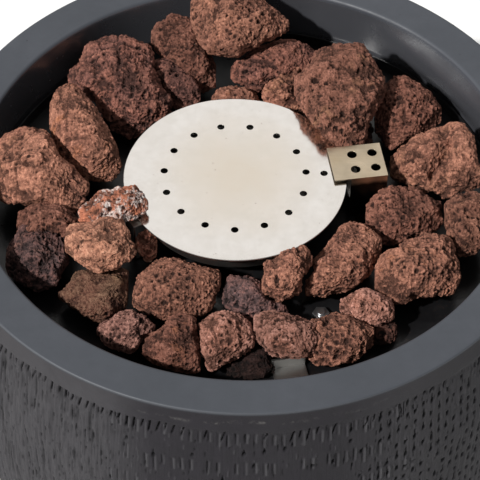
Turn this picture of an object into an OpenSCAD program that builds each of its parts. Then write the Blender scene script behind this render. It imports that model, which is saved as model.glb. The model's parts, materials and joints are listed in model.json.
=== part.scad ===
// Tabletop gas fire pit: a round cast-concrete bowl with a stainless burner,
// an ignition hood, loose lava rock, and the gas train that feeds it.
// Millimetres. +Z is up, the base stands on z = 0, and the controls face -Y.

/* [Bowl] */
// Outer diameter across the flat rim
rim_d = 412; // [406:1:424]
// Width of the flat rim
rim_w = 27; // [24:1:30]
// Height from the table to the top of the rim
bowl_h = 230; // [226:1:240]
// Height of the middle of the control panel
panel_z = 95; // [92:1:98]
// Height of the gas inlet at the back
inlet_z = 45; // [42:1:50]

/* [Burner] */
// Diameter of the burner disc
disc_d = 150; // [146:1:152]
// Diameter of the small flame holes
flame_hole_d = 5; // [3:0.5:6]
// Number of flame holes in the ring
flame_holes = 15; // [12:1:18]
// Diameter of the ring that the flame holes lie on
flame_ring_d = 96; // [90:1:104]
// Diameter of the four holes in the ignition hood
hood_hole_d = 6.5; // [5:0.5:8]

/* [Controls] */
// Diameter of the control knob
knob_d = 40; // [34:1:44]
// How far the knob is pushed in to light the burner
knob_push = 4; // [3:0.5:4]
// Diameter of the igniter button
button_d = 16; // [14:1:16]

/* [Feet and base] */
// Number of rubber feet
feet = 4; // [3:1:6]
// Diameter of each rubber foot
foot_d = 28; // [22:1:32]

/* [Lava rock] */
// Size of every rock against its outline
rock_fill = 0.985; // [0.93:0.005:0.99]

/* [Hidden] */
$fn = 64;
R = rim_d / 2;
RI = R - rim_w;
H = bowl_h;
z_disc = H - 10;          // top of the burner disc
z_pan = H - 45;           // top of the pan's floor
bx = -7; by = 1;          // the burner sits a little off the bowl's centre
B = [bx, by, 0];
disc_t = 1;
pan_t = 1.2;
py = -190;                // front face of the control panel
seat_y = py + 1.5;        // flat seat behind the panel
vx = -28;                 // valve and knob
ix = 32;                  // igniter
hood_a = 9;               // the hood's direction from the burner's centre
post_r = 108;
post_a = [-58, 62, 182];
clip_a = [-78, 42, 162];
leg_a = [[210, 79], [300, 72], [75, 72]];

// ---------- helpers ----------
module cyl_y(r, y0, y1, x = 0, z = 0) { translate([x, y1, z]) rotate([90, 0, 0]) cylinder(h = y1 - y0, r = r); }
module hex_y(r, y0, y1, x = 0, z = 0) { translate([x, y1, z]) rotate([90, 0, 0]) cylinder(h = y1 - y0, r = r, $fn = 6); }
module ring_y(r, ri, y0, y1, x = 0, z = 0) { difference() { cyl_y(r, y0, y1, x, z); cyl_y(ri, y0 - 1, y1 + 1, x, z); } }
module hexnut_y(r, ri, y0, y1, x = 0, z = 0) { difference() { hex_y(r, y0, y1, x, z); cyl_y(ri, y0 - 1, y1 + 1, x, z); } }
module hexnut(r, ri, h) { difference() { cylinder(h = h, r = r, $fn = 6); translate([0, 0, -1]) cylinder(h = h + 2, r = ri); } }
module at_hood() { translate(B) rotate([0, 0, hood_a]) children(); }

function unit(v) = v / norm(v);
// a smooth curve through hand-placed points
function cr(a, b, c, d, t) = 0.5 * ((2 * b) + (c - a) * t + (2 * a - 5 * b + 4 * c - d) * t * t + (3 * b - a - 3 * c + d) * t * t * t);
function smooth(P, n) = concat(
    [for (i = [0 : len(P) - 2]) for (k = [0 : n - 1])
        cr(P[max(i - 1, 0)], P[i], P[i + 1], P[min(i + 2, len(P) - 1)], k / n)],
    [P[len(P) - 1]]);
function ring_pts(P, r, n, ref) = [for (i = [0 : len(P) - 1])
    let (t = unit(P[min(i + 1, len(P) - 1)] - P[max(i - 1, 0)]), a = unit(cross(t, ref)), b = cross(t, a))
    for (k = [0 : n - 1]) P[i] + r * (cos(360 * k / n) * a + sin(360 * k / n) * b)];
module tube(P, r, n = 8, ref = [1, 0, 0]) {
    m = len(P);
    polyhedron(points = ring_pts(P, r, n, ref), faces = concat(
        [[for (k = [0 : n - 1]) k]],
        [for (i = [0 : m - 2]) for (k = [0 : n - 1]) each [
            [i * n + k, (i + 1) * n + k, i * n + (k + 1) % n],
            [i * n + (k + 1) % n, (i + 1) * n + k, (i + 1) * n + (k + 1) % n]]],
        [[for (k = [n - 1 : -1 : 0]) (m - 1) * n + k]]), convexity = 6);
}
function coil(x, z, y0, y1, r, turns, step = 12) = [for (i = [0 : step * turns])
    let (s = i / (step * turns)) [x + r * cos(360 * turns * s), y0 + (y1 - y0) * s, z + r * sin(360 * turns * s)]];

// ---------- bowl and base ----------
out_pts = [[R - 28, 5], [R - 22, 8], [R - 12, 16], [R - 3, 28], [R + 2.5, 42], [R + 6, 60], [R + 7.5, 84],
    [R + 8, 112], [R + 8, 150], [R + 7.2, 163], [R + 5.4, 182], [R + 3.2, 202], [R + 1.6, H - 13],
    [R + 0.4, H - 4], [R - 0.4, H - 1.6], [R - 2, H - 0.4], [R - 4, H]];
in_pts = [[RI + 3, H], [RI + 1.2, H - 0.5], [RI + 0.2, H - 1.8], [RI - 0.3, H - 4], [RI - 3, z_pan - pan_t],
    [RI - 27, z_pan - pan_t], [RI - 27, z_pan - 15], [RI - 8, z_pan - 24], [R - 8, 148], [R - 8, 112],
    [R - 10, 84], [R - 14, 60], [R - 21, 42], [R - 34, 25], [R - 45, 19], [R - 56, 19], [R - 56, 7],
    [R - 39, 7], [R - 39, 5]];

module outer_solid() { rotate_extrude($fn = 180) polygon(concat([[0, 5]], out_pts, [[0, H]])); }

module fire_bowl() {
    color([0.33, 0.35, 0.38])
    difference() {
        union() {
            rotate_extrude($fn = 180) polygon(concat(out_pts, in_pts));
            intersection() {
                outer_solid();
                translate([-72, -(R + 12), panel_z - 35]) cube([144, R + 12 - 174, 70]);
            }
            translate([0, 186, inlet_z]) rotate([90, 0, 0]) cylinder(h = 18, r = 20);
        }
        // recess and window for the controls
        translate([-66, -(R + 30), panel_z - 30]) cube([132, R + 30 + seat_y, 60]);
        translate([-52, -200, panel_z - 19]) cube([104, 60, 38]);
        for (x = [-58, 58]) for (z = [-23, 23]) cyl_y(1.8, seat_y - 1, seat_y + 10, x, panel_z + z);
        // spot face and hole for the gas inlet
        cyl_y(18, 186, R + 30, 0, inlet_z);
        cyl_y(9.3, 150, 200, 0, inlet_z);
        for (a = [0 : 60 : 300]) rotate([0, 0, a + 15]) translate([158, 0, 0]) cylinder(h = 16, r = 2);
        for (a = clip_a) rotate([0, 0, a]) translate([160, 0, z_pan - 12]) cylinder(h = 14, r = 2);
    }
}
module base_plate() {
    color([0.16, 0.16, 0.17])
    difference() {
        translate([0, 0, 5.5]) cylinder(h = 1.5, r = R - 39.6, $fn = 120);
        for (a = [0 : 60 : 300]) rotate([0, 0, a + 15]) translate([158, 0, 0]) cylinder(h = 20, r = 2.2);
        for (i = [0 : feet - 1]) rotate([0, 0, 45 + 360 * i / feet]) translate([132, 0, 0]) cylinder(h = 20, r = 4);
        for (a = [0 : 45 : 315]) rotate([0, 0, a]) translate([92, 0, 0]) cylinder(h = 20, r = 10);
        for (a = [0 : 60 : 300]) rotate([0, 0, a]) translate([50, 0, 0]) cylinder(h = 20, r = 10);
    }
}
module base_screws() {
    color([0.75, 0.75, 0.77])
    for (a = [0 : 60 : 300]) rotate([0, 0, a + 15]) translate([158, 0, 0]) {
        difference() {
            translate([0, 0, 3.3]) cylinder(h = 2.2, r = 4);
            translate([0, 0, 2]) cylinder(h = 2.2, r = 1.6, $fn = 6);
        }
        translate([0, 0, 5.5]) cylinder(h = 10, r = 2);
    }
}
module rubber_feet() {
    color([0.08, 0.08, 0.08])
    for (i = [0 : feet - 1]) rotate([0, 0, 45 + 360 * i / feet]) translate([132, 0, 0]) {
        cylinder(h = 2, r1 = foot_d / 2 - 1.5, r2 = foot_d / 2);
        translate([0, 0, 2]) cylinder(h = 3.5, r = foot_d / 2);
        translate([0, 0, 5.5]) cylinder(h = 1.5, r = 4);
        translate([0, 0, 7]) cylinder(h = 2.5, r = 5.5);
    }
}

// ---------- pan ----------
module burner_pan() {
    color([0.09, 0.09, 0.1])
    difference() {
        union() {
            translate([0, 0, z_pan - pan_t]) cylinder(h = pan_t, r = RI - 4, $fn = 120);
            difference() {
                translate([0, 0, z_pan]) cylinder(h = 9, r = RI - 4, $fn = 120);
                translate([0, 0, z_pan - 1]) cylinder(h = 12, r = RI - 5.2, $fn = 120);
            }
        }
        translate([bx, by, z_pan - 5]) cylinder(h = 10, r = 11);
        for (a = post_a) translate(B) rotate([0, 0, a]) translate([post_r, 0, z_pan - 5]) cylinder(h = 10, r = 2.5);
        for (a = clip_a) rotate([0, 0, a]) translate([160, 0, z_pan - 5]) cylinder(h = 10, r = 2.2);
        at_hood() {
            translate([82, 6, z_pan - 5]) cylinder(h = 10, r = 3.4);
            translate([82, -6, z_pan - 5]) cylinder(h = 10, r = 2.9);
            for (s = [-1, 1]) translate([90, s * 20, z_pan - 5]) cylinder(h = 10, r = 1.6);
        }
        for (a = [20 : 60 : 320]) translate(B) rotate([0, 0, a]) translate([40, 0, z_pan - 5]) cylinder(h = 10, r = 3);
    }
}
module pan_clips() {
    color([0.72, 0.73, 0.74])
    for (a = clip_a) rotate([0, 0, a]) {
        difference() {
            translate([136, -11, z_pan]) cube([31, 22, 1.5]);
            translate([160, 0, z_pan - 1]) cylinder(h = 4, r = 2.2);
        }
        translate([136, -11, z_pan + 1.5]) cube([1.5, 22, 8]);
    }
}
module pan_screws() {
    color([0.8, 0.8, 0.82])
    for (a = clip_a) rotate([0, 0, a]) translate([160, 0, 0]) {
        difference() {
            translate([0, 0, z_pan + 1.5]) cylinder(h = 2.4, r = 4);
            translate([0, 0, z_pan + 2.7]) cylinder(h = 3, r = 1.8, $fn = 6);
        }
        translate([0, 0, z_pan - 11]) cylinder(h = 12.5, r = 2);
    }
}
module stud_nuts() {
    color([0.82, 0.82, 0.84])
    for (a = post_a) translate(B) rotate([0, 0, a]) translate([post_r, 0, 0]) {
        translate([0, 0, z_pan]) hexnut(5.8, 2.5, 3.2);
        translate([0, 0, z_pan - 34.4]) hexnut(5.8, 2.5, 3.2);
    }
}

// ---------- burner ----------
module burner_disc() {
    color([0.82, 0.81, 0.78])
    difference() {
        translate([bx, by, z_disc - disc_t]) cylinder(h = disc_t, r = disc_d / 2, $fn = 120);
        for (i = [0 : flame_holes - 1]) translate(B) rotate([0, 0, 102.2 + 360 * i / flame_holes])
            translate([flame_ring_d / 2, 0, z_disc - 3]) cylinder(h = 6, r = flame_hole_d / 2);
        translate(B) rotate([0, 0, 4]) translate([60, 0, z_disc - 3]) cylinder(h = 6, r = flame_hole_d / 2);
    }
}
module burner_cup() {
    z0 = z_disc - 19;
    color([0.7, 0.7, 0.7])
    translate(B) rotate_extrude($fn = 120) polygon([[11, z0], [64, z0], [66, z0 + 2], [66, z_disc - 2],
        [71, z_disc - 2], [71, z_disc - disc_t], [65, z_disc - disc_t], [65, z0 + 2.4], [63.6, z0 + 1], [11, z0 + 1]]);
}
module burner_legs() {
    color([0.74, 0.75, 0.77])
    for (l = leg_a) translate(B) rotate([0, 0, l[0]]) {
        translate([66.3, -6, z_disc - 3.2]) cube([l[1] + 1.2 - 66.3, 12, 1.2]);
        translate([l[1], -6, z_pan]) cube([1.2, 12, z_disc - 3.2 - z_pan]);
        translate([l[1] - 13, -6, z_pan]) cube([14.2, 12, 1.2]);
    }
}
module inlet_tube() {
    color([0.72, 0.72, 0.73])
    translate(B) difference() {
        union() {
            translate([0, 0, z_pan - 25]) cylinder(h = z_disc - 16 - z_pan + 25, r = 11);
            translate([0, 0, z_disc - 18]) cylinder(h = 2, r = 16);
        }
        translate([0, 0, z_pan - 30]) cylinder(h = 90, r = 9);
    }
}
module burner_locknut() {
    color([0.78, 0.66, 0.36])
    translate([bx, by, z_pan - pan_t - 7]) hexnut(18, 11, 7);
}
module mixer_tube() {
    z1 = z_pan - 13; z0 = z_pan - 77;
    color([0.68, 0.69, 0.7])
    translate(B) difference() {
        union() {
            translate([0, 0, z0]) cylinder(h = z1 - z0, r = 13);
            translate([0, 0, z0]) cylinder(h = 3, r = 16);
            translate([0, 0, z0 + 33]) cylinder(h = 2, r = 14.4);
        }
        translate([0, 0, z_pan - 25]) cylinder(h = 20, r = 11);
        translate([0, 0, z0 + 3]) cylinder(h = 60, r = 9);
        translate([0, 0, z0 - 1]) cylinder(h = 10, r = 5);
        translate([-20, -6, z0 + 10]) cube([40, 12, 16]);
    }
}
module air_shutter() {
    z0 = z_pan - 73.6;
    color([0.6, 0.61, 0.63])
    translate(B) difference() {
        union() {
            translate([0, 0, z0]) cylinder(h = 28.8, r = 14.6);
            rotate([0, 0, -90]) translate([13.8, -4, z0 + 2]) cube([9, 8, 1.5]);
        }
        translate([0, 0, z0 - 1]) cylinder(h = 32, r = 13.06);
        translate([-20, -6, z0 + 6.6]) cube([40, 12, 16]);
    }
}
module gas_jet() {
    z0 = z_pan - 85;
    color([0.83, 0.68, 0.36])
    translate(B) difference() {
        union() {
            translate([0, 0, z0]) cylinder(h = 8, r = 7.5, $fn = 6);
            translate([0, 0, z0 + 8]) cylinder(h = 4, r = 5);
            translate([0, 0, z0 + 12]) cylinder(h = 4, r1 = 5, r2 = 2.5, $fn = 48);
        }
        translate([0, 0, z0 - 1]) cylinder(h = 13, r = 3);
        translate([0, 0, z0 + 5]) cylinder(h = 20, r = 0.6, $fn = 24);
    }
}
module jet_holder() {
    z0 = z_pan - 99;
    color([0.83, 0.68, 0.36])
    translate(B) difference() {
        union() {
            translate([0, 0, z0]) cylinder(h = 14, r = 9);
            cyl_y(6.5, -20, 0, 0, z0 + 7);
        }
        translate([0, 0, z0 + 4]) cylinder(h = 12, r = 3);
        cyl_y(3, -22, 0, 0, z0 + 7);
    }
}
function gas_route() = [[vx, -146, panel_z + 5], [vx, -134, panel_z + 5], [vx, -124, panel_z + 5], [vx + 4, -96, z_pan - 92],
    [bx, by - 58, z_pan - 92], [bx, by - 34, z_pan - 92], [bx, by - 20, z_pan - 92]];
module gas_pipe() { color([0.78, 0.5, 0.3]) tube(smooth(gas_route(), 5), 4, 10, [0, 0, 1]); }
module pipe_nuts() {
    color([0.83, 0.68, 0.36]) {
        hexnut_y(8, 4, -146, -136, vx, panel_z + 5);
        hexnut_y(9, 6.5, by - 20, by - 12, bx, z_pan - 92);
        translate([vx, -166, panel_z - 27]) hexnut(8, 4, 10);
        hexnut_y(9, 4, 148, 157, 0, inlet_z);
    }
}

// ---------- ignition ----------
module pilot_hood() {
    zt = z_disc + 2.5;
    color([0.76, 0.74, 0.7])
    at_hood() difference() {
        union() {
            translate([65.2, -15.4, zt - 1]) cube([36.4, 30.8, 1]);
            for (s = [0, 1]) mirror([0, s, 0]) {
                translate([76.6, 14.4, z_pan]) cube([24.6, 1, zt - z_pan - 1]);
                translate([80, 15.4, z_pan]) cube([18, 9, 1.2]);
            }
            translate([100.6, -14.4, z_pan + 10]) cube([1, 28.8, zt - z_pan - 11]);
        }
        for (x = [81, 94.8]) for (y = [-6.9, 6.9]) translate([x, y, zt - 3]) cylinder(h = 5, r = hood_hole_d / 2);
        for (s = [-1, 1]) translate([90, s * 20, z_pan - 1]) cylinder(h = 4, r = 1.8);
    }
}
module hood_screws() {
    color([0.82, 0.82, 0.84])
    at_hood() for (s = [-1, 1]) translate([90, s * 20, 0]) {
        difference() {
            translate([0, 0, z_pan + 1.2]) cylinder(h = 2, r = 3.2);
            translate([0, 0, z_pan + 2.2]) cylinder(h = 3, r = 1.3, $fn = 6);
        }
        translate([0, 0, z_pan - 5]) cylinder(h = 6.2, r = 1.6);
    }
}
module pilot_bracket() {
    color([0.7, 0.7, 0.72])
    at_hood() difference() {
        union() {
            translate([76.8, -11, z_pan + 14]) cube([14, 22, 1.2]);
            translate([89.6, -11, z_pan]) cube([1.2, 22, 14]);
            translate([89.6, -11, z_pan]) cube([9, 22, 1.2]);
        }
        translate([82, 6, z_pan]) cylinder(h = 20, r = 3);
        translate([82, -6, z_pan]) cylinder(h = 20, r = 2.5);
    }
}
module electrode_ceramic() {
    color([0.93, 0.91, 0.86])
    at_hood() translate([82, 6, 0]) difference() {
        union() {
            translate([0, 0, z_pan - 9]) cylinder(h = 32, r = 3);
            translate([0, 0, z_pan + 15.2]) cylinder(h = 2, r = 4.2);
        }
        translate([0, 0, z_pan - 12]) cylinder(h = 40, r = 1);
    }
}
module electrode_pin() {
    color([0.6, 0.58, 0.56])
    at_hood() translate([82, 6, z_pan - 9]) {
        cylinder(h = 38, r = 1);
        translate([0, 0, 37]) rotate([0, -90, 0]) cylinder(h = 5.5, r = 0.9);
    }
}
module thermocouple_tip() {
    color([0.75, 0.6, 0.42])
    at_hood() translate([82, -6, z_pan + 2]) {
        cylinder(h = 22, r = 2.5);
        translate([0, 0, 22]) cylinder(h = 2, r1 = 2.5, r2 = 1.2, $fn = 48);
    }
}
function hood_pt(x, y, z) = [bx + x * cos(hood_a) - y * sin(hood_a), by + x * sin(hood_a) + y * cos(hood_a), z];
function tc_route() = [hood_pt(82, -6, z_pan + 2), hood_pt(82, -6, z_pan - 10), hood_pt(84, -4, z_pan - 31),
    [72, -30, 125], [30, -100, 92], [vx + 10, -116, panel_z - 11], [vx, -128, panel_z - 10.5], [vx, -137, panel_z - 10.5], [vx, -146, panel_z - 10.5]];
module thermocouple_lead() { color([0.78, 0.5, 0.3]) tube(smooth(tc_route(), 5), 1.5, 8, [0.2, 0.1, 1]); }
module thermocouple_nut() { color([0.83, 0.68, 0.36]) hexnut_y(5, 1.6, -146, -139, vx, panel_z - 10.5); }
function wire_route() = [hood_pt(82, 6, z_pan - 9), hood_pt(82, 6, z_pan - 20), hood_pt(81, 6, z_pan - 33),
    [66, -14, 134], [60, -70, 116], [ix + 6, -104, panel_z + 4], [ix, -118, panel_z], [ix, -130, panel_z]];
module ignition_wire() { color([0.6, 0.12, 0.1]) tube(smooth(wire_route(), 5), 1.6, 8, [0.2, 0.1, 1]); }
module heat_shield() {
    color([0.72, 0.73, 0.74])
    translate([bx, by, z_pan - 31.2]) difference() {
        cylinder(h = 1, r = 132, $fn = 120);
        translate([0, 0, -1]) cylinder(h = 3, r = 16);
        rotate([0, 0, hood_a]) translate([83, 0, -1]) cylinder(h = 3, r = 12);
        for (a = post_a) rotate([0, 0, a]) translate([post_r, 0, -1]) cylinder(h = 3, r = 2.5);
    }
}
module shield_posts() {
    color([0.78, 0.78, 0.8])
    for (a = post_a) translate(B) rotate([0, 0, a]) translate([post_r, 0, 0]) {
        translate([0, 0, z_pan - 30.2]) cylinder(h = 29, r = 5, $fn = 6);
        translate([0, 0, z_pan - 36]) cylinder(h = 5.8, r = 2.5);
        translate([0, 0, z_pan - 1.2]) cylinder(h = 6, r = 2.5);
    }
}

// ---------- controls ----------
module control_panel() {
    color([0.7, 0.71, 0.72])
    difference() {
        translate([-64, py, panel_z - 28]) cube([128, 1.5, 56]);
        cyl_y(9.2, py - 5, py + 5, vx, panel_z);
        cyl_y(11.2, py - 5, py + 5, ix, panel_z);
        for (x = [-58, 58]) for (z = [-23, 23]) cyl_y(2, py - 5, py + 5, x, panel_z + z);
    }
}
module panel_screws() {
    color([0.82, 0.82, 0.84])
    for (x = [-58, 58]) for (z = [-23, 23]) {
        difference() {
            cyl_y(3.4, py - 2, py, x, panel_z + z);
            translate([x, py, panel_z + z]) rotate([90, 0, 0]) translate([0, 0, 1]) cylinder(h = 3, r = 1.4, $fn = 6);
        }
        cyl_y(1.8, py, py + 10, x, panel_z + z);
    }
}
module valve_body() {
    color([0.66, 0.67, 0.69])
    difference() {
        union() {
            translate([vx - 16, -186, panel_z - 17]) cube([32, 40, 34]);
            cyl_y(14, seat_y, -185, vx, panel_z);
            cyl_y(9, -194.5, -187, vx, panel_z);
        }
        cyl_y(4.05, -196, -170, vx, panel_z);
        cyl_y(8.5, -183, -158, vx, panel_z);
        cyl_y(3, -157, -140, vx, panel_z + 5);
        translate([vx, -166, panel_z - 20]) cylinder(h = 10, r = 3);
    }
}
module valve_nut() { color([0.8, 0.8, 0.82]) hexnut_y(13, 9, -194, py, vx, panel_z); }
module valve_stem() {
    color([0.83, 0.7, 0.4]) {
        cyl_y(4, -208, -163, vx, panel_z);
        cyl_y(6.5, -182.7, -181.3, vx, panel_z);
    }
}
module push_collar() { color([0.8, 0.8, 0.82]) ring_y(8.2, 4.06, -181, -178.2, vx, panel_z); }
module stem_spring() { color([0.6, 0.6, 0.62]) tube(coil(vx, panel_z, -177.4, -158.8, 6.2, 6, 12), 0.7, 6, [0, 1, 0]); }
module control_knob() {
    kr = knob_d / 2;
    color([0.1, 0.1, 0.11])
    difference() {
        union() {
            cyl_y(kr, -200, -196, vx, panel_z);
            cyl_y(kr - 2, -211, -200, vx, panel_z);
            cyl_y(kr - 3.2, -212, -211, vx, panel_z);
        }
        cyl_y(kr - 4, -202, -190, vx, panel_z);
        cyl_y(4, -208, -200, vx, panel_z);
        for (a = [0 : 20 : 340]) translate([vx, 0, panel_z]) rotate([0, a, 0]) cyl_y(1.6, -214, -201, 0, kr - 1.2);
        translate([vx - 1, -214, panel_z + 5]) cube([2, 2.8, 12]);
    }
}
module igniter_body() {
    color([0.12, 0.12, 0.13])
    difference() {
        union() {
            cyl_y(11, -194, -140, ix, panel_z);
            cyl_y(14, seat_y, -185, ix, panel_z);
            cyl_y(2.4, -141, -130, ix, panel_z);
        }
        cyl_y(button_d / 2 + 0.07, -196, -165, ix, panel_z);
    }
}
module igniter_nut() { color([0.8, 0.8, 0.82]) hexnut_y(15, 11, -193.4, py, ix, panel_z); }
module igniter_button() {
    br = button_d / 2;
    color([0.72, 0.1, 0.08]) translate([ix, 0, panel_z]) rotate([90, 0, 0])
        rotate_extrude() polygon([[0, 184], [br, 184], [br, 200.6], [br - 0.5, 201.6], [br - 1.6, 202], [0, 202]]);
}
module igniter_spring() { color([0.6, 0.6, 0.62]) tube(coil(ix, panel_z, -183.2, -165.8, 5.4, 6, 12), 0.7, 6, [0, 1, 0]); }

// ---------- gas supply ----------
module gas_inlet() {
    color([0.83, 0.68, 0.36])
    difference() {
        union() {
            hex_y(13, 186, 193, 0, inlet_z);
            cyl_y(7.95, 193, 211, 0, inlet_z);
            cyl_y(9.2, 157, 186, 0, inlet_z);
        }
        cyl_y(4, 150, 212, 0, inlet_z);
    }
}
module inlet_nut() { color([0.8, 0.8, 0.82]) hexnut_y(15, 9.2, 161, 168, 0, inlet_z); }
function inlet_route() = [[vx, -166, panel_z - 17], [vx, -166, panel_z - 28], [vx, -166, panel_z - 38], [vx - 2, -154, inlet_z - 2],
    [-36, -120, 34], [-48, -40, 32], [-40, 50, 32], [-16, 104, 36], [0, 134, inlet_z], [0, 146, inlet_z], [0, 157, inlet_z]];
module inlet_pipe() { color([0.78, 0.5, 0.3]) tube(smooth(inlet_route(), 5), 3.96, 10, [1, 0, 0]); }

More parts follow.
